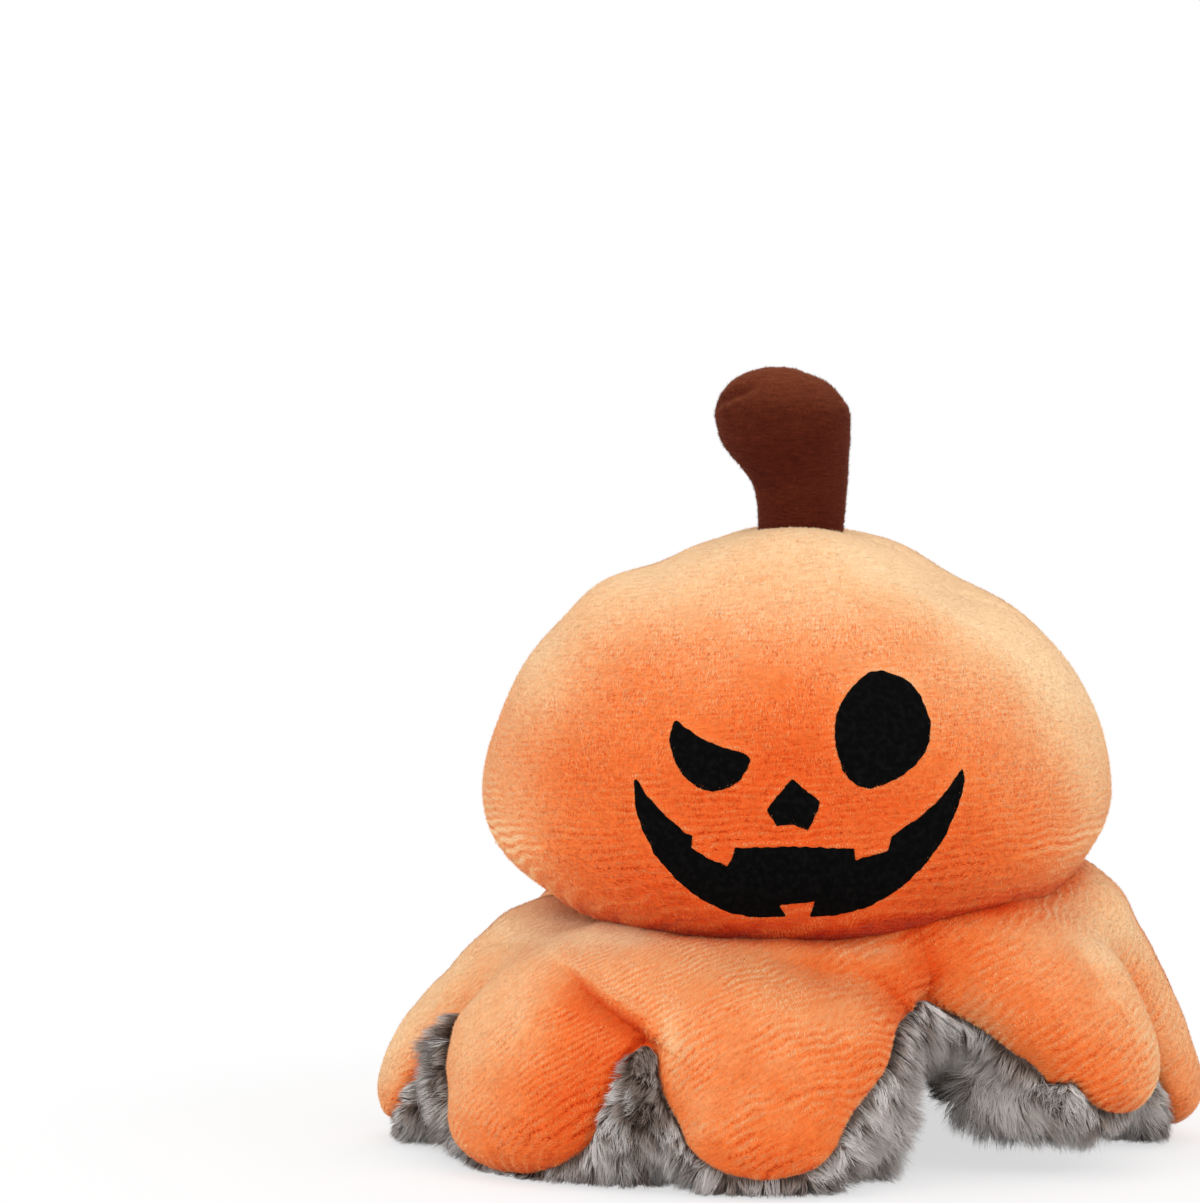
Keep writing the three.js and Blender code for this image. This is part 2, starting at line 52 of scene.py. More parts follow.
toy = {
    "offset": (0.502, 0.424),  # of the toy's middle from the row's origin
    "nod": math.radians(6),
    "creaseHeight": 62,
    "stemPivot": (1.2, -8.8, 149.7),
}
view = {"place": (0, -1200, 172), "aim": (-47.8, 0, 131.9), "lens": 146.9}  # the camera
scene = bpy.context.scene


# Rows of numbers

def unit(rows):
    return rows / np.maximum(np.linalg.norm(rows, axis=-1, keepdims=True), 1e-9)


def smooth(low, high, value):
    share = np.clip((value - low) / (high - low), 0, 1)
    return share * share * (3 - 2 * share)


def intoNod(points):  # from the row's frame to the upright toy's
    x, y = points[:, 0] - toy["offset"][0], points[:, 1] - toy["offset"][1]
    z = points[:, 2] - toy["creaseHeight"]
    c, s = math.cos(toy["nod"]), math.sin(toy["nod"])
    return np.stack([x, c * y + s * z, c * z - s * y + toy["creaseHeight"]], 1)


def fromNod(points):
    y, z = points[:, 1], points[:, 2] - toy["creaseHeight"]
    c, s = math.cos(toy["nod"]), math.sin(toy["nod"])
    return np.stack([points[:, 0] + toy["offset"][0], c * y - s * z + toy["offset"][1],
                     s * y + c * z + toy["creaseHeight"]], 1)


def fromFront(points):  # x and z as the camera sees them, in the plane through the toy's middle
    _, y, z = view["place"]
    near = y / (y - points[:, 1])
    return np.stack([points[:, 0] * near, z + (points[:, 2] - z) * near], 1)


def waves(points, size, seed):  # soft lumps from -1 to 1, about size across
    rng = np.random.default_rng(seed)
    total = np.zeros(len(points))
    for _ in range(9):
        way = rng.normal(size=3)
        way *= 2 * math.pi / size / np.linalg.norm(way) * rng.uniform(0.5, 1.1)
        total += np.sin(points @ way + rng.uniform(0, 2 * math.pi))
    return total / 4.5


# Meshes of triangles: rows that start with x, y, z, and whose later columns are cut and mixed along

def clipped(rows, faces, field):  # keeps the side where field is above zero
    inside = field > 0
    count = inside[faces].sum(1)
    mixed = faces[(count == 1) | (count == 2)]
    odd = inside[mixed] == (inside[mixed].sum(1) == 1)[:, None]  # the corner on its own
    turn = np.argmax(odd, 1)
    mixed = np.take_along_axis(mixed, (turn[:, None] + np.arange(3)) % 3, 1)
    alone = inside[mixed[:, 0]]
    pairs = np.sort(np.concatenate([mixed[:, [0, 1]], mixed[:, [0, 2]]]), 1)
    edges, place = np.unique(pairs, axis=0, return_inverse=True)
    place = place.reshape(2, -1) + len(rows)
    low, high = field[edges[:, 0]], field[edges[:, 1]]
    share = (low / (low - high))[:, None]
    cut = rows[edges[:, 0]] * (1 - share) + rows[edges[:, 1]] * share
    a, b, c = mixed.T
    p, q = place
    new = np.concatenate([
        np.stack([a, p, q], 1)[alone],
        np.stack([p, b, c], 1)[~alone],
        np.stack([p, c, q], 1)[~alone],
    ])
    return packed(np.concatenate([rows, cut]), np.concatenate([faces[count == 3], new]))


def packed(rows, faces):  # drops the rows that no face uses
    used, place = np.unique(faces, return_inverse=True)
    return rows[used], place.reshape(-1, 3)


def divided(rows, faces):  # each triangle becomes four
    pairs = np.sort(faces[:, [0, 1, 1, 2, 2, 0]].reshape(-1, 2), 1)
    edges, place = np.unique(pairs, axis=0, return_inverse=True)
    middle = place.reshape(-1, 3) + len(rows)
    a, b, c = faces.T
    d, e, f = middle.T
    parts = [(a, d, f), (d, b, e), (f, e, c), (d, e, f)]
    return np.concatenate([rows, rows[edges].mean(1)]), np.concatenate([np.stack(p, 1) for p in parts])


def normalsOf(rows, faces):
    a, b, c = (rows[faces[:, i], :3] for i in range(3))
    face = np.cross(b - a, c - a)
    total = np.zeros((len(rows), 3))
    for corner in range(3):
        np.add.at(total, faces[:, corner], face)
    return unit(total)


def relaxed(rows, faces, times):
    edges = np.unique(np.sort(faces[:, [0, 1, 1, 2, 2, 0]].reshape(-1, 2), 1), axis=0)
    count = np.bincount(edges.ravel(), minlength=len(rows))[:, None]
    for _ in range(times):
        total = np.zeros((len(rows), 3))
        np.add.at(total, edges[:, 0], rows[edges[:, 1], :3])
        np.add.at(total, edges[:, 1], rows[edges[:, 0], :3])
        rows = rows.copy()
        rows[:, :3] += 0.5 * (total / count - rows[:, :3])
    return rows


def hemmed(rows, faces, normals, depth):  # turns each open edge in, towards the back of the cloth
    pairs = faces[:, [0, 1, 1, 2, 2, 0]].reshape(-1, 2)
    key = np.sort(pairs, 1)
    _, place, count = np.unique(key, axis=0, return_inverse=True, return_counts=True)
    rim = pairs[count[place.ravel()] == 1]
    edge = np.unique(rim)
    inner = rows[edge].copy()
    inner[:, :3] -= depth * normals[edge]
    number = np.zeros(len(rows), int)
    number[edge] = np.arange(len(edge)) + len(rows)
    a, b = rim.T
    wall = np.concatenate([np.stack([b, a, number[a]], 1), np.stack([b, number[a], number[b]], 1)])
    return (np.concatenate([rows, inner]), np.concatenate([faces, wall]),
            np.concatenate([normals, normals[edge]]))


def gridFaces(rowsAlong, columns, closed):
    i, j = np.meshgrid(np.arange(rowsAlong - 1), np.arange(columns if closed else columns - 1), indexing="ij")
    next_ = (j + 1) % columns
    a, b = i * columns + j, i * columns + next_
    c, d = a + columns, b + columns
    a, b, c, d = (k.ravel() for k in (a, b, c, d))
    return np.concatenate([np.stack([a, b, d], 1), np.stack([a, d, c], 1)])


def meshOf(name, rows, faces, material, normals=None, shades=None, corners=None):
    mesh = bpy.data.meshes.new(name)
    mesh.vertices.add(len(rows))
    mesh.vertices.foreach_set("co", (rows[:, :3] * mm).astype(np.float32).ravel())
    mesh.loops.add(3 * len(faces))
    mesh.loops.foreach_set("vertex_index", faces.astype(np.int32).ravel())
    mesh.polygons.add(len(faces))
    mesh.polygons.foreach_set("loop_start", np.arange(0, 3 * len(faces), 3, dtype=np.int32))
    mesh.update(calc_edges=True)
    mesh.polygons.foreach_set("use_smooth", np.ones(len(faces), bool))
    if shades is not None:
        shade = mesh.attributes.new("shade", "FLOAT", "POINT")
        shade.data.foreach_set("value", shades.astype(np.float32))
    if corners is not None:
        layer = mesh.uv_layers.new(name="OFBake")
        layer.uv.foreach_set("vector", corners[faces.ravel()].astype(np.float32).ravel())
    if normals is not None:
        mesh.normals_split_custom_set_from_vertices(normals.astype(np.float32))
    mesh.materials.append(material)
    piece = bpy.data.objects.new(name, mesh)
    scene.collection.objects.link(piece)
    return piece


def outlineField(points, outline):  # distance inside a closed outline, less than zero outside it
    outline = np.asarray(outline, float)
    after = np.roll(outline, -1, 0)
    nearest = np.full(len(points), 1e9)
    inside = np.zeros(len(points), bool)
    for (x0, y0), (x1, y1) in zip(outline, after):
        way = np.array([x1 - x0, y1 - y0])
        along = np.clip(((points - (x0, y0)) @ way) / (way @ way), 0, 1)
        nearest = np.minimum(nearest, np.linalg.norm(points - (x0, y0) - along[:, None] * way, axis=1))
        if y0 != y1:
            crosses = (y0 > points[:, 1]) != (y1 > points[:, 1])
            inside ^= crosses & (points[:, 0] < x0 + (points[:, 1] - y0) * (x1 - x0) / (y1 - y0))
    return np.where(inside, nearest, -nearest)


def curved(points, steps=8):  # a smooth closed outline through its points
    points = np.asarray(points, float)
    before, after, beyond = np.roll(points, 1, 0), np.roll(points, -1, 0), np.roll(points, -2, 0)
    t = (np.arange(steps) / steps)[None, :, None]
    a, b, c, d = (p[:, None, :] for p in (before, points, after, beyond))
    found = 0.5 * (2 * b + (c - a) * t + (2 * a - 5 * b + 4 * c - d) * t**2 + (3 * b - a - 3 * c + d) * t**3)
    return found.reshape(-1, 2)


# Surface of a field of distances, from a net of one point in each cell that it crosses

def netOf(values, low, step):
    corners = np.array([(i, j, k) for i in (0, 1) for j in (0, 1) for k in (0, 1)])
    nx, ny, nz = values.shape
    stack = np.stack([values[i:nx - 1 + i, j:ny - 1 + j, k:nz - 1 + k] for i, j, k in corners])
    mixed = (stack < 0).any(0) & (stack >= 0).any(0)
    number = np.full(mixed.shape, -1)
    number[mixed] = np.arange(mixed.sum())
    value = stack[:, mixed]
    total, count = np.zeros((value.shape[1], 3)), np.zeros(value.shape[1])
    for a in range(8):
        for b in range(a + 1, 8):
            if np.abs(corners[a] - corners[b]).sum() == 1:
                crosses = (value[a] < 0) != (value[b] < 0)
                share = value[a][crosses] / (value[a] - value[b])[crosses]
                total[crosses] += corners[a] + share[:, None] * (corners[b] - corners[a])
                count[crosses] += 1
    rows = low + step * (np.argwhere(mixed) + total / count[:, None])
    faces = []
    inside = values < 0
    for axis in range(3):
        others = [k for k in range(3) if k != axis]
        first = [slice(1, -1)] * 3
        second = list(first)
        first[axis], second[axis] = slice(0, -1), slice(1, None)
        here, there = inside[tuple(first)], inside[tuple(second)]
        for way, flip in ((here & ~there, False), (~here & there, True)):
            cell = np.argwhere(way)
            for k in others:
                cell[:, k] += 1
            ring = []
            for back in ((0, 0), (1, 0), (1, 1), (0, 1)):
                at = cell.copy()
                at[:, others[0]] -= back[0]
                at[:, others[1]] -= back[1]
                ring.append(number[tuple(at.T)])
            a, b, c, d = ring
            if flip != (axis == 1):
                b, d = d, b
            faces += [np.stack([a, b, c], 1), np.stack([a, c, d], 1)]
    return rows, np.concatenate(faces)


# Shader maths as Python expressions

class Link:
    def __init__(self, finish, socket):
        self.finish, self.socket = finish, socket

    def sum(self, operation, *values):
        return self.finish.node("ShaderNodeMath", {"operation": operation}, dict(enumerate(values)))

    def __add__(self, other): return self.sum("ADD", self, other)
    __radd__ = __add__
    def __mul__(self, other): return self.sum("MULTIPLY", self, other)
    __rmul__ = __mul__
    def __sub__(self, other): return self.sum("SUBTRACT", self, other)
    def __rsub__(self, other): return self.sum("SUBTRACT", other, self)
    def between(self, low, high):
        return self.finish.node("ShaderNodeMapRange", {"interpolation_type": "SMOOTHSTEP"},
                                {"Value": self, "From Min": low, "From Max": high})


class Finish:
    def __init__(self, name, **plain):
        self.material = bpy.data.materials.new(name)
        self.material.use_nodes = True
        self.tree = self.material.node_tree
        self.shader = self.tree.nodes["Principled BSDF"]
        for socket, value in plain.items():
            self.shader.inputs[socket.replace("_", " ")].default_value = value

    def node(self, kind, settings=None, values=None, output=0):
        made = self.tree.nodes.new(kind)
        for key, value in (settings or {}).items():
            if key == "stops":
                ramp = made.color_ramp.elements
                while len(ramp) < len(value):
                    ramp.new(1)
                for stop, (place, colour) in zip(ramp, value):
                    stop.position, stop.color = place, (*colour, 1)
            else:
                setattr(made, key, value)
        for key, value in (values or {}).items():
            if isinstance(value, Link):
                self.tree.links.new(value.socket, made.inputs[key])
            else:
                made.inputs[key].default_value = value
        return Link(self, made.outputs[output])

    def noise(self, size, detail=2, stretch=(1, 1, 1), roughness=0.5, turn=0):  # size in mm
        place = self.node("ShaderNodeTexCoord", output=3)
        place = self.node("ShaderNodeMapping", {"vector_type": "TEXTURE"},
                          {"Vector": place, "Rotation": (0, math.radians(turn), 0),
                           "Scale": [size * mm / s for s in stretch]})
        return self.node("ShaderNodeTexNoise", None,
                         {"Vector": place, "Scale": 1.0, "Detail": detail, "Roughness": roughness})

    def attribute(self, name):
        return self.node("ShaderNodeAttribute", {"attribute_name": name}, output=2)

    def ramp(self, value, stops):
        return self.node("ShaderNodeValToRGB", {"stops": stops}, {"Fac": value})

    def mix(self, share, first, second):
        made = self.node("ShaderNodeMix", {"data_type": "RGBA"}, {"Factor": share}, output=2)
        for socket, value in (("A", first), ("B", second)):
            target = [s for s in made.socket.node.inputs if s.name == socket and s.type == "RGBA"][0]
            if isinstance(value, Link):
                self.tree.links.new(value.socket, target)
            else:
                target.default_value = (*value, 1)
        return made

    def bump(self, height, depth, under=None):  # depth in mm
        values = {"Height": height, "Distance": depth * mm, "Strength": 1.0}
        if under is not None:
            values["Normal"] = under
        return self.node("ShaderNodeBump", None, values)

    def set(self, **links):
        for socket, link in links.items():
            self.tree.links.new(link.socket, self.shader.inputs[socket.replace("_", " ")])
        return self.material


def colour(*byte):  # from the 0 to 255 that a screen shows
    share = [b / 255 for b in byte]
    return tuple(s / 12.92 if s <= 0.04045 else ((s + 0.055) / 1.055) ** 2.4 for s in share)


plush = {
    "nap": 0.7, "ripple": 0.65, "rippleLength": 3.2, "brush": 18,  # sizes in mm
    "napTone": 0.14, "brushTone": 0.12, "sheen": 0.28, "sheenRoughness": 0.35,
}
paintedLight = {  # painted light and shade in the pile's tone: plain, painted shade facing against the way of the light and painted light along it, painted sheen to the sides and at the rim, and paler behind
    "head": {"way": (0.12, -0.05, 0.96), "plain": 0.33, "low": -0.04, "high": 0.6, "from": 0.1, "to": 1.05,
             "sides": 0.33, "rim": 0.14, "back": 0.13},
    "leg": {"way": (-0.2, -0.05, 0.9), "plain": 0.47, "low": -0.08, "high": 0.3, "from": 0.0, "to": 0.9,
            "sides": 0.2, "rim": 0.0, "back": 0.0},
    "stem": {"way": (0, 0, 1), "plain": 0.52, "low": -0.1, "high": 0.2, "from": 0.0, "to": 0.9,
             "sides": 0.0, "rim": 0.0, "back": 0.0},
}


# Pile tone with painted light from above, painted shade below and painted sheen at the sides and rim
def tonesOf(normals, kind, paintedShading=0.0):
    w = paintedLight[kind]
    facing = normals @ np.array(w["way"])
    return (w["plain"] + paintedShading + w["low"] * smooth(0.05, -0.8, facing)
            + w["high"] * smooth(w["from"], w["to"], facing) + w["sides"] * normals[:, 0] ** 2
            + w["rim"] * smooth(0.75, 0.25, np.abs(normals[:, 1])) + w["back"] * smooth(0.2, 0.9, normals[:, 1]))


def paintedPatches(rows, marks):  # painted light and shade on the front: x, z, how much paler, half width, half height
    flat = fromFront(rows)
    total = np.zeros(len(rows))
    for x, z, change, width, height in marks:
        total += change * np.exp(-((flat[:, 0] - x) / width) ** 2 - ((flat[:, 1] - z) / height) ** 2)
    return total * smooth(5, -5, rows[:, 1])


def plushFinish(name, shades, tint, turn, ripples, bare=0.0):
    finish = Finish(name, Roughness=0.9, Sheen_Weight=plush["sheen"], Sheen_Roughness=plush["sheenRoughness"],
                    Sheen_Tint=(*tint, 1), Specular_IOR_Level=0.08)
    across = plush["ripple"] / plush["rippleLength"]
    nap = finish.noise(plush["nap"], 3, (1, 1, 1), 0.6)
    ripple = finish.noise(plush["ripple"], 2, (across, across, 1), 0.6, turn)
    brushed = finish.noise(plush["brush"], 2)
    tone = (finish.attribute("shade") + nap * plush["napTone"] + ripple * ripples + brushed * plush["brushTone"]
            - (plush["napTone"] + plush["brushTone"] + ripples) / 2 - bare)
    return finish.set(
        Base_Color=finish.ramp(tone, list(zip((0.0, 0.2, 0.46, 0.68, 0.9, 1.0), shades))),
        Normal=finish.bump(nap, 0.25, finish.bump(ripple, 0.5)),
    )


# Each from its deepest to its palest
orange = [colour(186, 38, 10), colour(232, 80, 22), colour(244, 126, 60),
          colour(247, 164, 105), colour(250, 200, 148), colour(254, 218, 172)]
brown = [colour(44, 11, 6), colour(58, 16, 9), colour(86, 32, 18),
         colour(114, 54, 31), colour(134, 71, 44), colour(146, 82, 52)]
grey = [colour(84, 62, 50), colour(160, 140, 128), colour(208, 194, 185), colour(252, 246, 242)]
haze = colour(255, 214, 174)
finishes = {
    "headCloth": plushFinish("head plush", orange, haze, -4, 0.26, 0.06),
    "headPile": plushFinish("head pile", orange, haze, -4, 0.26),
    "legCloth": plushFinish("leg plush", orange, haze, -32, 0.25, 0.06),
    "legPile": plushFinish("leg pile", orange, haze, -32, 0.25),
    "brownCloth": plushFinish("brown plush", brown, colour(190, 120, 88), 0, 0.3, 0.06),
    "brownPile": plushFinish("brown pile", brown, colour(190, 120, 88), 0, 0.3),
}


def furFinish():
    finish = Finish("grey fur", Roughness=0.75, Sheen_Weight=0.2, Specular_IOR_Level=0.15)
    tone = finish.attribute("shade")
    return finish.set(Base_Color=finish.ramp(tone, list(zip((0.0, 0.35, 0.7, 1.0), grey))))


def backingFinish():
    finish = Finish("fur backing", Roughness=0.9)
    tuft = finish.noise(2.5, 3)
    return finish.set(Base_Color=finish.ramp(tuft, [(0.35, grey[0]), (0.65, grey[1])]),
                      Normal=finish.bump(tuft, 1.0))


def stitchFinish(name, dark, light):
    finish = Finish(name, Roughness=0.95, Specular_IOR_Level=0.03)
    thread = finish.noise(0.55, 2, (1, 1, 0.12))
    speck = finish.noise(1.4, 2)
    return finish.set(Base_Color=finish.mix(speck.between(0.4, 0.75), dark, light),
                      Normal=finish.bump(thread, 0.35, finish.bump(speck, 0.2)))


finishes["fur"] = furFinish()
finishes["backing"] = backingFinish()
finishes["black"] = stitchFinish("black stitching", colour(7, 7, 7), colour(15, 15, 15))
finishes["pink"] = stitchFinish("pink stitching", colour(196, 120, 104), colour(226, 158, 140))


# Strands: each a narrow blade that tapers to its tip

def scattered(rows, faces, density, rng, *extra):  # even random places on a surface
    a, b, c = (rows[faces[:, i], :3] for i in range(3))
    area = np.linalg.norm(np.cross(b - a, c - a), axis=1) / 2
    count = int(area.sum() * density)
    face = rng.choice(len(faces), count, p=area / area.sum())
    s, t = rng.random(count), rng.random(count)
    s, t = np.where(s + t > 1, 1 - s, s), np.where(s + t > 1, 1 - t, t)
    weights = np.stack([1 - s - t, s, t], 1)[:, :, None]
    return [(values.reshape(len(rows), -1)[faces[face]] * weights).sum(1) for values in (rows[:, :3], *extra)]


def blades(name, line, side, width, shade, normals, facing, material):
    count, places, _ = line.shape
    taper = 0.5 * (1 - np.arange(places - 1) / (places - 1)) ** 0.6
    # The front of each blade is turned to where it can be seen from
    outward = unit(np.column_stack([line[:, 0, :2] - toy["offset"], np.zeros(count)]))
    hidden = (np.cross(side, line[:, -1] - line[:, 0]) * (facing + 0.4 * outward)).sum(1) < 0
    side = np.where(hidden[:, None], -side, side)
    spread = side[:, None] * (width[:, None] * taper)[:, :, None]
    pairs = np.stack([line[:, :-1] - spread, line[:, :-1] + spread], 2).reshape(count, -1, 3)
    rows = np.concatenate([pairs, line[:, -1:]], 1)
    each = 2 * places - 1
    j = 2 * np.arange(places - 2)
    pattern = np.concatenate([np.stack([j, j + 1, j + 3], 1), np.stack([j, j + 3, j + 2], 1),
                              [[each - 3, each - 2, each - 1]]]).astype(int)
    faces = (pattern[None] + each * np.arange(count)[:, None, None]).reshape(-1, 3)
    alongs = np.repeat(np.arange(places), 2)[:each]
    across = np.tile([0.15, 0.85], places)[:each] + 0.0
    across[-1] = 0.5
    cells = math.ceil(math.sqrt(count))
    number = np.arange(count)
    corner = np.stack([number % cells, number // cells], 1)[:, None]
    local = np.stack([across, 0.1 + 0.8 * alongs / (places - 1)], 1)[None]
    tips = np.repeat(normals[:, None], each, 1)
    return meshOf(name, rows.reshape(-1, 3), faces, material, tips.reshape(-1, 3),
                  shade[:, alongs].ravel(), ((corner + local) / cells).reshape(-1, 2))


pile = {
    "density": 6.8, "length": 1.15, "width": 0.29, "stand": 0.28, "stray": 0.14,  # strands to a square mm
    "gap": 1.8, "slopes": {-180: 0.05, 180: 0.05},  # between the ripples, and how these rise round the toy
    "wander": (1.7, 11, 0.7, 4.5),  # how far the ripples stray and over what length, twice
    "run": 9, "bare": -0.9,  # size of the rippled patches, and how little is left bare of them
    "ripple": 0.5, "mottle": 0.045, "root": -0.08, "tip": 0.04,  # tones
}


def ripples(points, style):  # narrow rows where the pile parts, rising to the right by the slopes
    turns = np.linspace(-180, 180, 721)
    rise = np.cumsum(np.interp(turns, list(style["slopes"]), list(style["slopes"].values()))) * math.radians(0.5) * 78
    rise *= round(rise[-1] / style["gap"]) * style["gap"] / rise[-1]  # so that the rows meet at the back
    x, y = points[:, 0] - toy["offset"][0], points[:, 1] - toy["offset"][1]
    across = points[:, 2] - 0.6 * np.hypot(x, y) - np.interp(np.degrees(np.arctan2(x, -y)), turns, rise)
    strong, far, weak, near = style["wander"]
    phase = across * 2 * math.pi / style["gap"] + strong * waves(points, far, 7) + weak * waves(points, near, 8)
    row = 0.45 - 1.45 * (0.5 - 0.5 * np.sin(phase)) ** 3
    return row * smooth(style["bare"], style["bare"] + 0.9, waves(points, style["run"], 9))


def growPile(name, rows, faces, normals, tones, material, seed, style=pile, keep=None):
    rng = np.random.default_rng(seed)
    density = style["density"] * 1
    root, normal, tone = scattered(rows, faces, density, rng, normals, tones)
    trim = np.ones(len(root))
    if keep is not None:
        trim, paler = keep(root, normal)
        root, normal, tone, trim = (values[trim > 0] for values in (root, normal, tone + paler[:, None], trim))
    normal = unit(normal)
    row = ripples(root, style)
    inward = -unit(root[:, :2] - toy["offset"]) - np.tanh(4 * normal[:, :2])  # and away from every side's rim
    drape = np.column_stack([inward + 0.3 * np.stack([waves(root, 30, seed + k) for k in (1, 2)], 1),
                             1 + 0.3 * waves(root, 30, seed + 3)])
    comb = unit(drape - (drape * normal).sum(1, keepdims=True) * normal)
    way = unit((style["stand"] * (1 + 0.5 * row))[:, None] * normal + comb
               + style["stray"] * rng.normal(size=root.shape))
    length = style["length"] * rng.uniform(0.6, 1.2, len(root)) * trim
    tip = root + way * length[:, None]
    tip[:, 2] = np.maximum(tip[:, 2], 0.1)
    line = np.stack([root - 0.1 * normal, tip], 1)
    each = tone[:, 0] + rng.normal(0, style["mottle"], len(root))
    strength = style["ripple"] * (0.3 + 0.7 * smooth(1.0, 0.7, tone[:, 0]))
    shade = np.stack([each + strength * row + style["root"],
                      each + strength * ripples(tip, style) + style["tip"]], 1)
    shown = unit(normal - 0.3 * row[:, None] * comb)
    width = style["width"] * rng.uniform(0.7, 1.2, len(root))
    return blades(name, line, unit(np.cross(way, normal)), width, shade, shown, normal, material)


fur = {
    "density": 10, "length": 9.5, "width": 0.19, "stand": 0.8, "droop": 0.45, "stray": 0.2,
    "curl": 0.65, "clump": 150, "pull": 0.5, "steps": 4, "short": 0.35,  # how much shorter on the toes
    "rootTone": 0.28, "tipTone": 1.15, "clumpTone": 0.27, "waveTone": 0.42, "seamShade": 0.22, "strayTone": 0.07,
}


def growFur(name, rows, faces, normals, below, paintedShading, seed, style):
    rng = np.random.default_rng(seed)
    density = style["density"] * 1
    root, normal, under, paintedShading = scattered(rows, faces, density, rng, normals, below, paintedShading)
    normal = unit(normal)
    count = len(root)
    edge = smooth(0, 6, under[:, 0])  # 0 beside the seam
    outward = unit(np.column_stack([root[:, 0], root[:, 1], np.zeros(count)]))
    swirl = np.stack([waves(root, 16, seed + k) for k in (1, 2, 3)], 1)
    lean = unit(style["stand"] * normal + (0, 0, -style["droop"]) + 0.15 * outward
                + style["curl"] * swirl + (style["stray"] * (0.3 + 0.7 * edge))[:, None] * rng.normal(size=root.shape)
                - (0.5 * (1 - edge))[:, None] * (0, 0, 1))
    length = style["length"] * rng.uniform(0.6, 1.15, count) * (0.6 + 0.4 * edge)
    length *= 1 - style["short"] * smooth(84, 100, np.hypot(root[:, 0], root[:, 1]))
    bend = 0.25 * rng.normal(size=root.shape)
    path = [root - 0.3 * normal]
    for step in range(1, style["steps"]):
        share = step / (style["steps"] - 1)
        way = unit((1.1 - share) * normal + (0.35 + share) * lean + share * bend)
        path.append(path[-1] + way * (length / (style["steps"] - 1))[:, None])
    path = np.stack(path, 1)
    seeds = rng.choice(count, max(1, count // style["clump"]), replace=False)
    tree = KDTree(len(seeds))
    for number, place in enumerate(root[seeds]):
        tree.insert(place, number)
    tree.balance()
    lump = seeds[[tree.find(place)[1] for place in root]]
    pull = style["pull"] * (np.arange(style["steps"]) / (style["steps"] - 1)) ** 1.3
    pull = pull[None, :, None] * rng.uniform(0.2, 1.4, count)[:, None, None]
    path += pull * (path[lump] - path)
    path[:, :, 2] = np.maximum(path[:, :, 2], 0.15 + 0.9 * rng.random(count)[:, None])
    tone = rng.normal(0, style["clumpTone"], count)[lump] + style["waveTone"] * waves(root, 13, seed + 4)
    # painted shadow in the fur just under the plush's edge
    tone -= style["seamShade"] * (smooth(9, 2, under[:, 0]) * (0.6 + waves(root, 8, seed + 5)))
    along = np.arange(style["steps"]) / (style["steps"] - 1)
    # the cloth's painted shading carries into the fur
    shade = (style["rootTone"] + style["tipTone"] * along[None] + tone[:, None] + paintedShading[:, :1]
             + rng.normal(0, style["strayTone"], count)[:, None])
    side = unit(np.cross(path[:, -1] - path[:, 0], normal + 0.4 * rng.normal(size=root.shape)))
    shown = unit(normal + 0.8 * unit(path[:, -1] - path[:, 0]))
    width = style["width"] * rng.uniform(0.7, 1.25, count)
    return blades(name, path, side, width, np.clip(shade, 0, 1), shown, normal, finishes["fur"])


def wear(piece, body, slot, *nodes):
    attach(piece, body)
    if nodes:
        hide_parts(*nodes)
    return piece


# Head: turned about the upright toy's axis, then nodded. The half widths come from its outline

head = {
    "radius": 76.5, "widest": 87.5, "top": 150.9, "fullness": 1.9, "belly": 44, "neck": (47, 58.3),
    "around": 300, "seamDepth": 0.45, "seamWidth": 1.4,
    "dartDepth": 0.55, "dartWidth": 1.2, "dartFoot": 100,
    "dimple": 4.0, "dimpleRadius": 8.5,
    "under": (69, 60), "underShade": 0.34,  # heights between which painted shade deepens the colour towards the crease
    # painted light and shade patches on the front of the head
    "paintedPatches": [(0, 108, -0.12, 16, 13), (-62, 112, 0.12, 8, 13), (63, 106, 0.12, 8, 22),
                (43, 131, 0.14, 13, 8), (34, 126, -0.1, 9, 8), (-20, 118, -0.05, 14, 10),
                (20, 124, -0.06, 14, 7), (-66, 74, 0.12, 9, 12), (71, 86, 0.14, 7, 14), (33, 142, 0.2, 14, 7),
                (56, 124, 0.1, 8, 8), (-41, 117, -0.07, 12, 11), (1, 92, -0.06, 10, 7), (51, 87, 0.08, 10, 9)],
    # where the stuffing swells or sinks: x, y, z, height, half width along x, y, z
    "lumps": [(40, -8, 139, -4.8, 12, 34, 9), (-34, -8, 143, -2.4, 8, 30, 7), (-50, -5, 136, 1.3, 11, 30, 8),
              (-21, -8, 148, -1.2, 7, 30, 7), (-62, -10, 62, -2.2, 14, 40, 9), (0, -75, 112, 0.9, 30, 20, 16),
              (62, -35, 92, 0.8, 20, 20, 20), (-60, -40, 80, 0.9, 22, 20, 16), (0, -76, 90, -0.8, 34, 14, 18),
              (1, -22, 149, 4.4, 17, 13, 9), (-74, -8, 102, -1.1, 12, 34, 12), (70, -8, 73, -1.0, 12, 34, 9)],
}


def dome(form, steps):  # radius and height, from the top down to the widest place
    share = np.sin(np.linspace(math.pi / 2, 0, steps))
    radius = form["radius"] * (1 - share ** form["fullness"]).clip(0) ** (1 / form["fullness"])
    return list(zip(radius, form["widest"] + (form["top"] - form["widest"]) * share))


def turned(profile, around):  # rings round the upright axis
    profile = np.array(profile)
    profile[0, 0] = 0.4
    turn = np.arange(around) / around * 2 * math.pi
    r, z = profile[:, :1], profile[:, 1:]
    return np.stack([r * np.sin(turn), -r * np.cos(turn), z + 0 * turn], 2).reshape(-1, 3)


def swollen(push, rows, lumps):
    x, y, z = rows.T
    for lx, ly, lz, high, wx, wy, wz in lumps:
        push = push + high * np.exp(-((x - lx) / wx) ** 2 - ((y - ly) / wy) ** 2 - ((z - lz) / wz) ** 2)
    return push


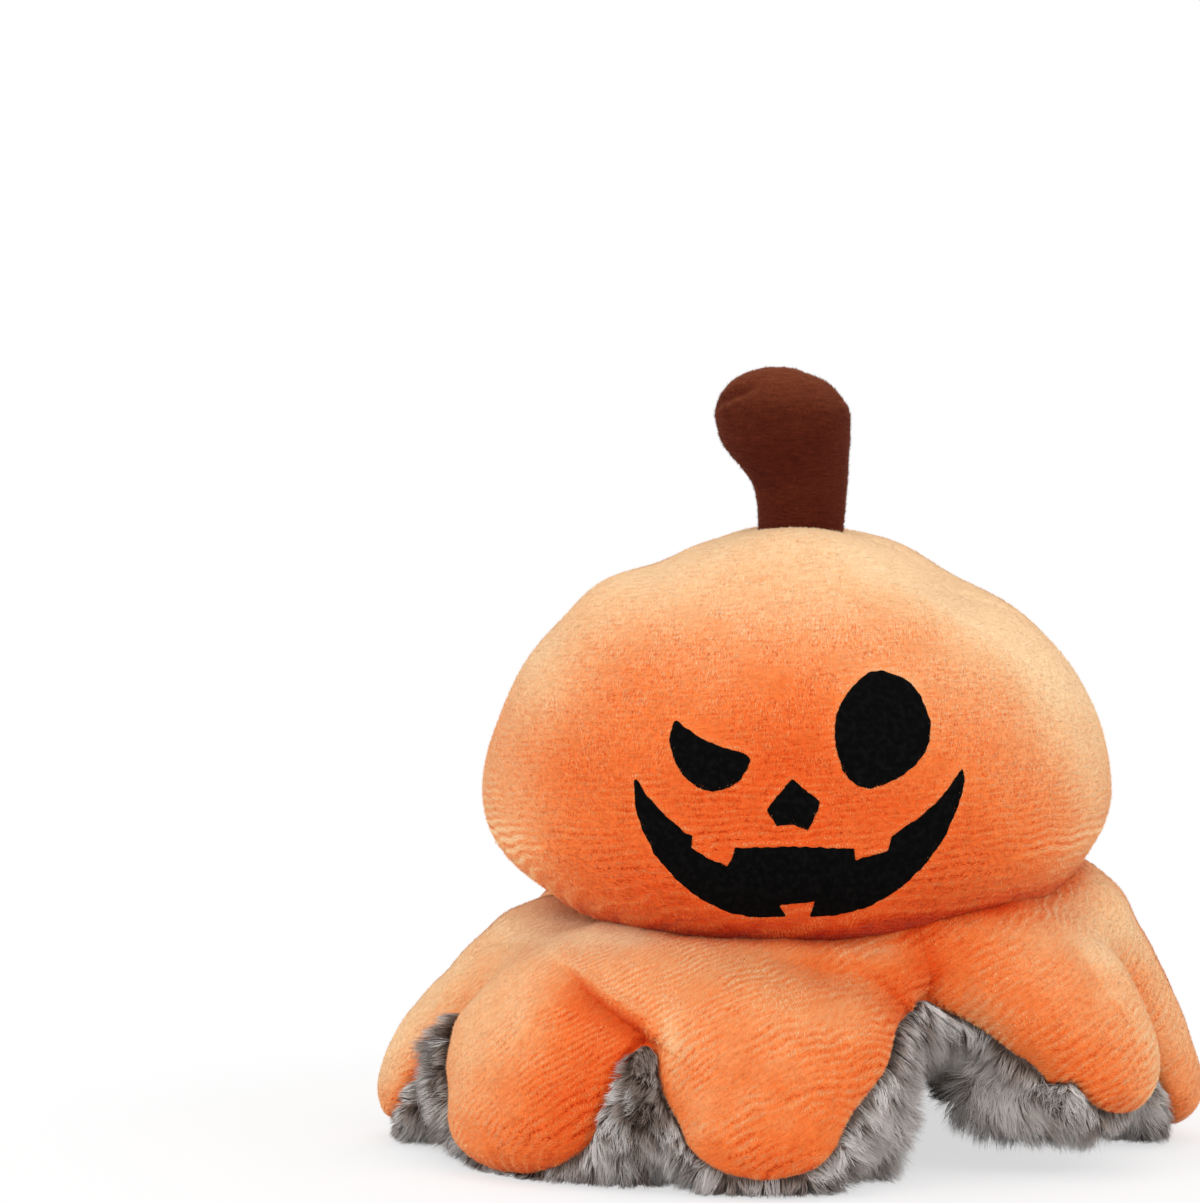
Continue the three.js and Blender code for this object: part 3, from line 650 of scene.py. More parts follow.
def headSurface():
    h = head
    creaseShare = (h["widest"] - toy["creaseHeight"]) / h["belly"]
    profile = dome(h, 64)
    for share in np.linspace(0, creaseShare, 30)[1:]:
        profile.append((h["radius"] * math.sqrt(1 - share**2), h["widest"] - h["belly"] * share))
    last = profile[-1]
    for share in np.linspace(0, 1, 17)[1:]:
        turn = math.sin(share * math.pi / 2)
        profile.append((last[0] + (h["neck"][0] - last[0]) * share, last[1] + (h["neck"][1] - last[1]) * turn))
    rows = turned(profile, h["around"])
    faces = gridFaces(len(profile), h["around"], True)[:, ::-1]
    normals = normalsOf(rows, faces)
    x, y, z = rows.T
    push = 0.55 * waves(rows, 46, 3) + 0.28 * waves(rows, 17, 4)
    push *= smooth(60, 70, z)
    push = swollen(push, rows, h["lumps"])
    push -= h["dimple"] * np.exp(-((x - 0.7) ** 2 + y**2) / h["dimpleRadius"] ** 2) * smooth(120, 140, z)
    push -= h["seamDepth"] * np.exp(-((y / h["seamWidth"]) ** 2)) + 0.4 * np.exp(-((y / 6) ** 2))
    dart = smooth(h["dartFoot"], h["dartFoot"] + 22, z) * smooth(150, 144, z) * (y < 0)
    push -= h["dartDepth"] * np.exp(-(((x + 0.5) / h["dartWidth"]) ** 2)) * dart
    push -= 0.7 * np.exp(-(((x + 0.5) / 9) ** 2)) * dart
    plain = fromNod(rows)
    return fromNod(rows + push[:, None] * normals), faces, normalsOf(plain, faces)


headRows, headFaces, headPlain = headSurface()
headNormals = normalsOf(headRows, headFaces)
headShape = BVHTree.FromPolygons(headRows.tolist(), headFaces.tolist())
print("stage: head shape", len(headFaces))

# Face: outlines as seen from the front, x to the right and z up
face = {
    "shift": (-0.25, 0.3),
    "eye_wink": curved([(-28.6, 101.6), (-28.2, 104.0), (-27.3, 106.2), (-24.9, 104.8), (-21.5, 102.6),
                        (-16.5, 100.6), (-10.6, 98.9), (-10.4, 96.6), (-12.6, 93.0), (-15.6, 91.3),
                        (-19.8, 90.6), (-24.4, 93.0), (-27.4, 97.2)], 4),
    "nose": [(-0.5, 93.6), (6.0, 88.4), (5.4, 86.4), (3.2, 81.8), (-0.2, 83.2), (-3.9, 82.8), (-5.0, 84.6),
             (-6.4, 86.6)],
    "eye_round": curved([(18.2, 117.7), (23.4, 116.7), (28.0, 113.6), (31.2, 106.4), (30.6, 100.6),
                         (27.6, 96.4), (22.4, 93.0), (16.4, 91.4), (11.8, 94.6), (9.6, 100.8), (9.6, 107.4),
                         (11.6, 111.9), (14.5, 115.3)], 4),
    "mouthUpper": [(38.8, 95.6), (35.2, 90.6), (30.2, 85.6), (22.6, 80.6), (22.0, 79.2), (21.7, 77.0),
                   (14.2, 75.0), (13.6, 77.6), (0, 78.1), (-13.6, 77.6), (-14.2, 75.2), (-15.2, 73.4),
                   (-19.4, 74.8), (-23.6, 77.4), (-23.2, 80.2), (-24.6, 80.6), (-29.6, 84.6), (-34.2, 89.6),
                   (-36.9, 93.6)],
    "mouthLower": [(-36.6, 86.4), (-35.0, 81.4), (-31.9, 75.4), (-26.9, 69.6), (-21.5, 65.1), (-15.2, 62.2),
                   (-9.0, 61.0), (-1.8, 61.3), (-3.4, 64.2), (4.8, 65.1), (3.6, 61.3), (10.0, 61.7),
                   (17.0, 63.6), (23.6, 67.4), (29.4, 72.8), (34.4, 79.4), (37.8, 87.0), (39.2, 92.4)],
}
outlines = {name: np.asarray(outline, float) + face["shift"] for name, outline in (
    ("eye_wink_embroidery", face["eye_wink"]),
    ("nose_embroidery", face["nose"]),
    ("eye_round_embroidery", face["eye_round"]),
    ("mouth_embroidery", face["mouthUpper"] + face["mouthLower"]),
)}
thread = {"spacing": 0.5, "height": 0.15, "hem": 0.6, "ruffle": 0.16}


def faceField(places):  # distance inside the stitched face
    flat = places[:, [0, 2]]
    found = np.max([outlineField(flat, outline) for outline in outlines.values()], 0)
    return np.where(places[:, 1] < 0, found, -50)


def stitched(name, outline, seed):
    outline = np.asarray(outline, float)
    low, high = outline.min(0) - 1, outline.max(0) + 1
    across = np.arange(low[0], high[0], thread["spacing"])
    up = np.arange(low[1], high[1], thread["spacing"])
    gx, gz = np.meshgrid(across, up, indexing="ij")
    flat = np.stack([gx.ravel(), gz.ravel()], 1)
    ragged = thread["ruffle"] * waves(np.column_stack([flat, 0 * flat[:, 0]]), 1.6, seed)
    inside = outlineField(flat, outline)
    rows = np.column_stack([flat, inside])
    rows, faces = clipped(rows, gridFaces(len(across), len(up), False), inside + ragged)
    places, normals = [], []
    for x, z, _ in rows:
        hit, normal, *_ = headShape.ray_cast(Vector((x, -200, z)), Vector((0, 1, 0)))
        places.append(hit)
        normals.append(normal)
    places, normals = np.array(places), unit(np.array(normals))
    rise = thread["height"] * smooth(-0.4, 1.3, rows[:, 2]) + 0.06 * waves(places, 5, seed + 1) + 0.2
    rows = places + normals * rise[:, None]
    if normalsOf(rows, faces)[:, 1].mean() > 0:
        faces = faces[:, ::-1]
    normals = normalsOf(rows, faces)
    rows, faces, normals = hemmed(rows, faces, normals, thread["hem"])
    return meshOf(name[:-11] + "stitching", rows, faces, finishes["black"], normals)


def nearFace(root, normal):  # no pile inside the stitching, and short beside it
    field = faceField(root)
    return (field < 0.4) * (0.7 + 0.3 * smooth(-0.6, -3, field)), 0.16 * smooth(-1.4, -0.4, field)


def makeHead():
    h = head
    upright = intoNod(headRows)
    rows = np.column_stack([headRows, headNormals, headPlain])
    for number, (name, side) in enumerate((("front", -1), ("back", 1))):
        part, faces = clipped(rows, headFaces, side * upright[:, 1])
        normals = unit(part[:, 3:6])
        # painted light and shade patches, and painted shade on the head's underside towards the crease
        tones = tonesOf(unit(part[:, 6:9]), "head", paintedPatches(part, h["paintedPatches"])
                        - h["underShade"] * smooth(*h["under"], intoNod(part)[:, 2] - 0.09 * np.maximum(part[:, 0], 0)))
        cloth = meshOf(f"head_{name}_plush", part, faces, finishes["headCloth"], normals, tones)
        wear(cloth, "body", "orange_plush", f"head_{name}_panel", *(["head_fill"] if side > 0 else []))
        clear = nearFace if side < 0 else None
        grown = growPile(f"head_{name}_pile", part, faces, normals, tones, finishes["headPile"], 11 + number,
                         pile, clear)
        wear(grown, "body", "orange_plush", f"head_{name}_panel")
    for number, (name, outline) in enumerate(outlines.items()):
        wear(stitched(name, outline, 31 + number), "body", "black_stitching", name)


makeHead()
print("stage: head and face made")

# Stem: rings of a middle and a half width at each height, the lowest sunk in the head
stem = {
    # height, middle, half width
    "rings": [(141.0, 1.3, 5.0), (143.2, 1.3, 8.2), (146.5, 1.3, 9.7), (150.3, 1.3, 10.0), (155.9, 1.5, 10.5),
              (161.3, 1.2, 11.4), (166.4, -0.5, 13.4), (171.0, -2.4, 15.6), (174.9, -3.0, 16.3),
              (178.4, -3.5, 16.5), (182.4, -4.3, 14.4), (185.5, -4.5, 11.4), (187.6, -4.1, 7.6),
              (188.5, -3.2, 3.4)],
    "depth": 0.86, "around": 96, "levels": 90, "lean": 5.5,
    "hidden": 147,  # no pile grows below this height, inside the head
}


def makeStem():
    rings = np.array(stem["rings"])
    along = np.linspace(0, len(rings) - 1, stem["levels"])
    knots = np.arange(len(rings))
    height, middle, half = (np.interp(along, knots, rings[:, k]) for k in range(3))
    kernel = np.array([1, 4, 9, 12, 9, 4, 1]) / 40
    for _ in range(3):
        height, middle, half = (np.convolve(np.pad(values, 3, mode="reflect", reflect_type="odd"), kernel, "valid")
                                for values in (height, middle, half))
    half = np.maximum(half, 0.3)
    turn = np.arange(stem["around"]) / stem["around"] * 2 * math.pi
    depth = stem["depth"] + (1 - stem["depth"]) * (1 - smooth(150, 175, height))
    x = middle[:, None] + half[:, None] * np.sin(turn)
    y = toy["stemPivot"][1] - (half * depth)[:, None] * np.cos(turn) - stem["lean"] * smooth(150, 188, height)[:, None]
    rows = np.stack([x, y, np.repeat(height[:, None], stem["around"], 1)], 2).reshape(-1, 3)
    faces = gridFaces(stem["levels"], stem["around"], True)
    crown = np.arange(stem["around"]) + (stem["levels"] - 1) * stem["around"]
    top = len(rows)
    rows = np.concatenate([rows, rows[crown].mean(0, keepdims=True) + [[0, 0, 0.12]]])
    faces = np.concatenate([faces, np.stack([crown, np.roll(crown, -1), np.full(len(crown), top)], 1)])
    normals = normalsOf(rows, faces)
    if ((rows[:, 0] - 1.3) * normals[:, 0]).mean() < 0:
        faces = faces[:, ::-1]
        normals = -normals
    x, y, z = rows.T
    push = 0.35 * waves(rows, 14, 51) + 0.15 * waves(rows, 6, 52)
    tuck = np.exp(-(((z - 181.5 - 0.45 * (x + 16)) / 1.2) ** 2)) * smooth(-7, -13, x)
    push -= 1.0 * tuck * smooth(0, 0.5, -normals[:, 1])
    rows = rows + push[:, None] * normals
    normals = normalsOf(rows, faces)
    # painted light: the stem's top paler, its underside deeper
    tones = tonesOf(normals, "stem")
    cloth = meshOf("stem_plush", rows, faces, finishes["brownCloth"], normals, tones)
    wear(cloth, "stem", "brown_plush", "stem_skin", "stem_fill")
    style = {**pile, "length": 1.2, "width": 0.2, "ripple": 0.07}
    above = lambda root, normal: (1.0 * (root[:, 2] > stem["hidden"]), 0 * root[:, 2])
    wear(growPile("stem_pile", rows, faces, normals, tones, finishes["brownPile"], 55, style, above),
         "stem", "brown_plush", "stem_skin")


makeStem()
print("stage: stem made")

# Skirt and legs: one surface, cut into the skirt's ring and a wedge for each leg
skirt = {
    "middle": 50, "height": 43.6, "half": 16.5,
    "valleyAt": [27, 79, 122, 163.5, 205, 248, 293, 336.5],
    "valleyRadius": [64, 80, 72, 72, 72, 73, 74, 76],
    "valleySeam": [50, 44.5, 41, 41, 41, 41, 42, 46],
    "tilt": (0.035, 0.15),  # how it falls to the left and rises to the right
    "ring": 66, "inner": 50, "mouth": 31,  # the legs' cloth starts at the ring,
    "lap": 8,  # and their fur this much further in
}
legs = {
    # turn from the face, toe's distance out, half widths to the left and right at the root, knee and toe,
    # rise of the root, knee and toe, seam's rise at the toe
    "front": {"turn": -3, "out": 89.9, "left": (44, 30, 23), "right": (27, 23.5, 16.5),
              "rise": (0, 0, 0), "seam": 3.0},
    "front_right": {"turn": 57, "out": 87, "left": (27, 26, 20), "right": (22, 18.5, 12.5),
                    "rise": (2, 4, 11), "seam": 0, "drop": 11, "from": 0.86},
    "right": {"turn": 98, "out": 87, "left": (23, 26, 25), "right": (22, 23, 19),
              "rise": (5, 2.5, 1), "seam": -2},
    "back_right": {"turn": 143, "out": 88, "left": (22, 22, 19), "right": (22, 22, 19),
                   "rise": (1, 1, 0), "seam": 5},
    "back": {"turn": 184, "out": 89, "left": (22, 22, 19), "right": (22, 22, 19), "rise": (0, 0, 0), "seam": 5},
    "back_left": {"turn": 226, "out": 89, "left": (22, 23, 19), "right": (22, 23, 19),
                  "rise": (-1, -1, 0), "seam": 5},
    "left": {"turn": 270, "out": 90.5, "left": (22, 23, 19), "right": (22, 22, 19),
             "rise": (-4, -11, -1), "seam": 4, "thick": (16, 13.5, 12.5)},
    "front_left": {"turn": 316, "out": 89.9, "left": (30, 32, 24.5), "right": (27, 31, 24),
                   "rise": (-1.5, -1, -1), "seam": -1},
}
lobe = {
    "hinge": 62, "hingeHeight": (44.99, 6.52), "kneeDrop": 6, "toeHeight": 13.9, "droop": math.tan(math.radians(67)),
    "thick": (16, 15.5, 12.5), "steps": 30, "merge": 3.2, "seamDrop": 5,
    # as in the head
    "lumps": [(32, -52, 55, 7.4, 17, 15, 12), (49, -42, 57, 2.2, 10, 12, 12), (-37, -46, 52, 1.8, 14, 14, 10)],
    "reach": 6, "shutShade": 0.24,  # painted shade deepens the colour where the cloth faces other cloth this near
    "turnSheen": {0: 0.0, 30: 0.0, 57: 0.08, 98: 0.18, 143: 0.06,  # painted sheen: how much paler, by the turn from the face
                 184: 0.02, 226: 0.06, 270: 0.17, 316: 0.05, 340: 0.0},
    # painted light and shade patches on the front of the skirt, legs and fur
    "paintedPatches": [(-64, 52, 0.14, 9, 7), (8, 47.5, -0.17, 17, 3.5), (17, 33, 0.12, 8, 12),
                (-20, 33, -0.1, 10, 8), (-64, 9, -0.18, 14, 11), (-25, 8, 0.1, 5, 10), (45, 46, -0.06, 12, 6),
                (53, 24, 0.1, 16, 12), (80, 52, 0.34, 9, 10), (90, 24, 0.16, 8, 18), (-50, 51, 0.3, 15, 4),
                (43, 31, 0.2, 8, 10), (72, 29, 0.1, 9, 8), (-54, 17, -0.06, 10, 10), (-36, 12, -0.3, 4.5, 11),
                (-31, 20, 0.35, 3.5, 9), (46, 54, -0.4, 14, 3.5), (-40, 51, 0.3, 6, 4)],
    "creaseShade": 0.3, "creaseReach": 6,  # painted shadow under the head
    "groove": (1.5, 1.7),  # of the seam between plush and fur, depth and half width
}
grid = {"low": np.array([-113.0, -113.0, -3.0]), "high": np.array([113.0, 113.0, 72.0]), "step": 2.7}
folds = [  # x and z as seen from the front, depth, half width above and below, how far the cloth above stands out, and how much painted shade deepens the colour below
    # and how much deeper the colour is below
    {"path": [(-62, 45.5), (-55, 40.2), (-50.2, 36), (-44.1, 31.4), (-37.5, 26.5)],
     "depth": 3.2, "wide": (0.9, 7), "lip": 0.8, "paintedShading": 0.38},
    {"path": [(-22.8, 49.4), (-6.9, 44.8), (4.9, 43.6), (15.4, 41.6), (22.5, 37.7), (25.7, 34.5)],
     "depth": 1.8, "wide": (1.6, 5), "lip": 0.6, "paintedShading": 0.16},
    {"path": [(40, 42), (34, 38), (30, 33)],
     "depth": 1.2, "wide": (2, 2), "lip": 0.3, "paintedShading": 0.1},
    {"path": [(62, 52), (70, 46), (76, 37)],
     "depth": 1.3, "wide": (2.4, 2.4), "lip": 0.4, "paintedShading": 0.12},
]
legPile = {
    **pile, "density": 8, "length": 1.0, "width": 0.32, "gap": 2.6,
    "slopes": {-180: 0.6, -90: 1.0, -45: 1.25, -20: 0.95, 0: 0.6, 20: 0.35, 57: 0.5, 100: 0.5, 180: 0.6},
    "wander": (3.0, 13, 1.3, 5), "run": 13, "bare": -0.7, "ripple": 0.47, "mottle": 0.05,
}
tufts = [  # where the fur sides of two legs press together: place, half sizes
    {"at": (-37, -70, 19), "size": (10, 12, 18)},
    {"at": (-74, -33, 18), "size": (10, 9, 14)},
    {"at": (14.5, -66, 18), "size": (7, 11, 14)},
    {"at": (51.5, -46, 20), "size": (12, 10, 6.8)},
]
notches = [  # where the seam climbs between two legs, or sinks: place, half size, climb
    {"at": (-33.5, -76, 30), "size": (5.5, 14, 11), "climb": 14},
    {"at": (31, -78, 37), "size": (6, 12, 8), "climb": 8},
    {"at": (-76, -36, 30), "size": (9, 9, 9), "climb": 3},
    {"at": (58, -58, 14), "size": (7, 12, 6), "climb": -4},
]


def threeWay(values, t):  # from the root by the knee to the toe
    root, knee, toe = values
    return np.where(t < 0.5, root + (knee - root) * 2 * t, knee + (toe - knee) * (2 * t - 1))


for leg in legs.values():
    turn = math.radians(leg["turn"])
    leg["outward"] = np.array([math.sin(turn), -math.cos(turn)])
    leg["across"] = np.array([math.cos(turn), math.sin(turn)])
    base, tilt = lobe["hingeHeight"]
    height = base - tilt * math.cos(turn)
    hinge = np.array([lobe["hinge"], height + leg["rise"][0]])
    knee = height - lobe["kneeDrop"] + leg["rise"][1]
    toe = np.array([leg["out"], lobe["toeHeight"] + leg["rise"][2]])
    bend = np.array([leg["out"] - (knee - toe[1]) / lobe["droop"], knee])
    t = np.linspace(0, 1, lobe["steps"])
    s = t[:, None]
    leg["spine"] = (1 - s) ** 2 * hinge + 2 * s * (1 - s) * bend + s**2 * toe
    way = unit(2 * (1 - s) * (bend - hinge) + 2 * s * (toe - bend))
    leg["up"] = np.stack([-way[:, 1], way[:, 0]], 1)
    leg["halfs"] = [threeWay(leg[side], t) for side in ("left", "right")]
    leg["thickness"] = threeWay(leg.get("thick", lobe["thick"]), t)
    drop = leg.get("drop", lobe["seamDrop"])
    leg["lift"] = -drop + (leg["seam"] + drop) * smooth(leg.get("from", 0.4), 1, t)


def lowerFields(points):  # distance from each form, and each form's own distance above its seam
    n = intoNod(points)
    rho = np.hypot(n[:, 0], n[:, 1])
    around = np.degrees(np.arctan2(n[:, 0], -n[:, 1])) % 360
    rim = np.interp(around, skirt["valleyAt"], skirt["valleyRadius"], period=360)
    out = np.maximum(rho - skirt["middle"], 0) / (rim - skirt["middle"])
    level = n[:, 2] - np.where(n[:, 0] < 0, *skirt["tilt"]) * n[:, 0]
    distance = [(np.sqrt(out**2 + ((level - skirt["height"]) / skirt["half"]) ** 2) - 1) * skirt["half"]]
    seam = [level - np.interp(around, skirt["valleyAt"], skirt["valleySeam"], period=360)]
    flat = points[:, :2] - toy["offset"]
    for leg in legs.values():
        u, v = flat @ leg["outward"], flat @ leg["across"]
        near = np.flatnonzero((u > 25) & (np.abs(v) < 62))
        gap, above = np.full(len(points), 60.0), np.zeros(len(points))
        left, right = leg["halfs"]
        half, middle = (left + right) / 2, (right - left) / 2
        du = u[near, None] - leg["spine"][:, 0]
        dz = points[near, 2:] - leg["spine"][:, 1]
        dv = (v[near, None] - middle) * leg["thickness"] / half
        found = np.sqrt(du**2 + dz**2 + dv**2) - leg["thickness"]
        best = np.argmin(found, 1)
        row = np.arange(len(near))
        gap[near] = found[row, best]
        above[near] = du[row, best] * leg["up"][best, 0] + dz[row, best] * leg["up"][best, 1] - leg["lift"][best]
        distance.append(gap)
        seam.append(above)
    for tuft in tufts:
        size = np.array(tuft["size"], float)
        distance.append((np.linalg.norm((points - tuft["at"]) / size, axis=1) - 1) * size.min())
        seam.append(np.full(len(points), -12.0))
    return np.stack(distance), np.stack(seam)


def lowerField(points):
    distance, seam = lowerFields(points)
    least = distance.min(0)
    weight = np.exp(-(distance - least) / lobe["merge"])
    total = weight.sum(0)
    seam = (weight * seam).sum(0) / total
    for notch in notches:
        seam -= notch["climb"] * np.exp(-(((points - notch["at"]) / notch["size"]) ** 2).sum(1))
    return least - lobe["merge"] * np.log(total), seam


def settled(rows, times):  # moves points onto the surface
    for _ in range(times):
        value = lowerField(rows)[0]
        slope = np.stack([lowerField(rows + 0.05 * axis)[0] - value for axis in np.eye(3)], 1) / 0.05
        rows = rows - slope * (value / np.maximum((slope**2).sum(1), 0.09))[:, None]
    return rows


def lowerSurface():
    axes = [np.arange(grid["low"][k], grid["high"][k], grid["step"]) for k in range(3)]
    places = np.stack(np.meshgrid(*axes, indexing="ij"), 3)
    values = lowerField(places.reshape(-1, 3))[0].reshape(places.shape[:3])
    rows, faces = netOf(values, grid["low"], grid["step"])
    rows = settled(rows, 2)
    rows = settled(relaxed(rows, faces, 4), 2)
    rows, faces = divided(rows, faces)
    rows = settled(relaxed(rows, faces, 2), 2)
    rows, faces = divided(rows, faces)
    rows = settled(rows, 1)
    normals = normalsOf(rows, faces)
    seam = lowerField(rows)[1]
    shut = 1 - np.clip(lowerField(rows + lobe["reach"] * normals)[0] / lobe["reach"], 0, 1)
    upright = intoNod(rows)
    around = np.degrees(np.arctan2(upright[:, 0], -upright[:, 1])) % 360
    # Painted shading: painted sheen by the turn from the face, painted shade where the cloth faces other cloth,
    # painted light and shade patches, painted shadow under the head and painted shade in the folds
    paintedShading = np.interp(around, list(lobe["turnSheen"]), list(lobe["turnSheen"].values()), period=360)
    paintedShading -= lobe["shutShade"] * shut
    paintedShading += paintedPatches(rows, lobe["paintedPatches"])
    # painted shadow on the cloth just under the head
    for number in np.flatnonzero((rows[:, 2] > 44) & (np.hypot(rows[:, 0], rows[:, 1]) < 82)):
        gap = headShape.find_nearest(rows[number], lobe["creaseReach"])[3]
        if gap is not None:
            paintedShading[number] -= lobe["creaseShade"] * smooth(lobe["creaseReach"], 0.5, gap)
    flat = fromFront(rows)
    facing = smooth(0.0, 0.5, -normals[:, 1] + 0.5 * normals[:, 2]) * (rows[:, 1] < -5)
    push = 0.6 * waves(rows, 24, 61) + 0.22 * waves(rows, 9, 62)
    push = swollen(push, rows, lobe["lumps"])
    depth, width = lobe["groove"]
    push -= depth * np.exp(-((seam / width) ** 2))
    for fold in folds:
        path = np.array(fold["path"], float)
        nearest, place, side = np.full(len(rows), 1e9), np.zeros(len(rows)), np.zeros(len(rows))
        for number, (a, b) in enumerate(zip(path, path[1:])):
            way = b - a
            along = np.clip(((flat - a) @ way) / (way @ way), 0, 1)
            gap = np.linalg.norm(flat - a - along[:, None] * way, axis=1)
            closer = gap < nearest
            nearest[closer], place[closer] = gap[closer], ((number + along) / (len(path) - 1))[closer]
            side[closer] = np.sign(way[0] * (flat - a)[:, 1] - way[1] * (flat - a)[:, 0])[closer]
        fade = smooth(0, 0.5, place) * smooth(1.2, 0.9, place) * facing
        across = nearest / np.where(side < 0, fold["wide"][1], fold["wide"][0])
        push -= fold["depth"] * fade * np.exp(-(across**2))
        push += fold["lip"] * fade * (side > 0) * across * np.exp(-((across / 3) ** 2))
        # painted crease shade below each fold
        paintedShading -= fold["paintedShading"] * fade * np.exp(-((nearest / np.where(side < 0, 14, 0.8)) ** 2))
    rows = rows + push[:, None] * normals
    rows[:, 2] = np.maximum(rows[:, 2], 0.6)
    return rows, faces, seam, paintedShading


lowerRows, lowerFaces, lowerSeam, lowerPaintedShading = lowerSurface()
print("stage: skirt and leg shape", len(lowerFaces))


def wedge(rows, faces, turns):  # what lies between two turns from the face
    for turn, side in zip(turns, (1, -1)):
        angle = math.radians(turn)
        x, y = rows[:, 0] - toy["offset"][0], rows[:, 1] - toy["offset"][1]
        rows, faces = clipped(rows, faces, side * (x * math.cos(angle) + y * math.sin(angle)))
    return rows, faces


def away(rows):  # from the toy's upright axis
    n = intoNod(rows[:, :3])
    return np.hypot(n[:, 0], n[:, 1])


def makeLower():
    rows = np.column_stack([lowerRows, normalsOf(lowerRows, lowerFaces), lowerSeam, lowerPaintedShading])
    upper, upperFaces = clipped(rows, lowerFaces, lowerSeam)
    upper, upperFaces = clipped(upper, upperFaces, away(upper) - skirt["inner"])
    under, underFaces = clipped(rows, lowerFaces, -lowerSeam)
    under, underFaces = clipped(under, underFaces, away(under) - skirt["mouth"])

    def cloth(name, part, faces, fill):
        normals = unit(part[:, 3:6])
        # tone with the painted light and the painted shading
        tones = tonesOf(normals, "leg", part[:, 7])
        piece = meshOf(f"{name}_plush", part, faces, finishes["legCloth"], normals, tones)
        wear(piece, "body", "orange_plush", f"{name}_skin", *fill)
        grown = growPile(f"{name}_pile", part, faces, normals, tones, finishes["legPile"], 71 + len(name),
                         legPile)
        wear(grown, "body", "orange_plush", f"{name}_skin")
        return [piece, grown]

    def lining(name, part, faces, style):
        normals = unit(part[:, 3:6])
        piece = meshOf(f"{name}_backing", part, faces, finishes["backing"], normals)
        wear(piece, "body", "grey_fur", f"{name}_lining")
        grown = growFur(f"{name}_fur", part, faces, normals, -part[:, 6], part[:, 7], 91 + len(name), style)
        wear(grown, "body", "grey_fur", f"{name}_lining")
        return [piece, grown]

    cloth("skirt", *clipped(upper, upperFaces, skirt["ring"] - away(upper)), ["skirt_fill"])
    short = {**fur, "density": 1.5, "length": 8}
    lining("skirt", *clipped(under, underFaces, skirt["ring"] - skirt["lap"] - away(under)), short)
    outerUpper = clipped(upper, upperFaces, away(upper) - skirt["ring"])
    outerUnder = clipped(under, underFaces, away(under) - skirt["ring"] + skirt["lap"])
    valleys = skirt["valleyAt"]
    for number, name in enumerate(legs):
        turns = (valleys[number - 1], valleys[number])
        made = cloth(f"leg_{name}", *wedge(*outerUpper, turns), [f"leg_{name}_fill"])
        made += lining(f"leg_{name}", *wedge(*outerUnder, turns), fur)
        for piece in made:
            piece.parent = None
            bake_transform(piece)


makeLower()

# Pocket: the other side's head, pushed up inside
pocket = {"radius": 36.3, "widest": 76, "top": 118.2, "fullness": 2.2, "mouth": (32.5, 25.5), "around": 90}


def makePocket():
    p = pocket
    radius, height = p["mouth"]
    profile = dome(p, 26)
    for share in np.linspace(0, 1, 20)[1:]:
        profile.append((p["radius"] + (radius - p["radius"]) * share, p["widest"] + (height - p["widest"]) * share))
    rows = turned(profile, p["around"])
    rows[:, 2] += np.where(rows[:, 0] < 0, *skirt["tilt"]) * rows[:, 0] * smooth(60, height, rows[:, 2])
    faces = gridFaces(len(profile), p["around"], True)
    rows = fromNod(rows)
    normals = normalsOf(rows, faces)
    backing = meshOf("pocket_backing", rows, faces, finishes["backing"], normals)
    wear(backing, "body", "grey_fur", "pocket_lining")
    style = {**fur, "density": 1.1, "length": 5, "width": 0.45}
    grown = growFur("pocket_fur", rows, faces, normals, 0 * rows[:, 0] + 9, 0 * rows[:, 0], 131, style)
    wear(grown, "body", "grey_fur", "pocket_lining")


makePocket()
for name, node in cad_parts.items():
    if name.startswith("reverse_"):
        kind = finishes["pink" if name == "reverse_tongue" else "black"]
        for socket in node.material_slots:
            socket.link = "OBJECT"
            socket.material = kind
print("stage: pocket made")

# Room: pale floor, white behind, one large soft light from the upper right, and two to fill
room = {
    "floor": colour(242, 242, 242),
    "white": 0.65, "clear": (0.14, 0.24),  # share of plain white in the floor, and how far out it becomes all
    "key": {"place": (0.8, -0.75, 0.75), "size": 0.7, "watts": 2.2},
    "fill": {"place": (-1.0, -0.85, 0.4), "size": 0.9, "watts": 3.0},
    "top": {"place": (0.05, 0.1, 1.15), "size": 0.7, "watts": 1.2},
    "world": 0.96,
}


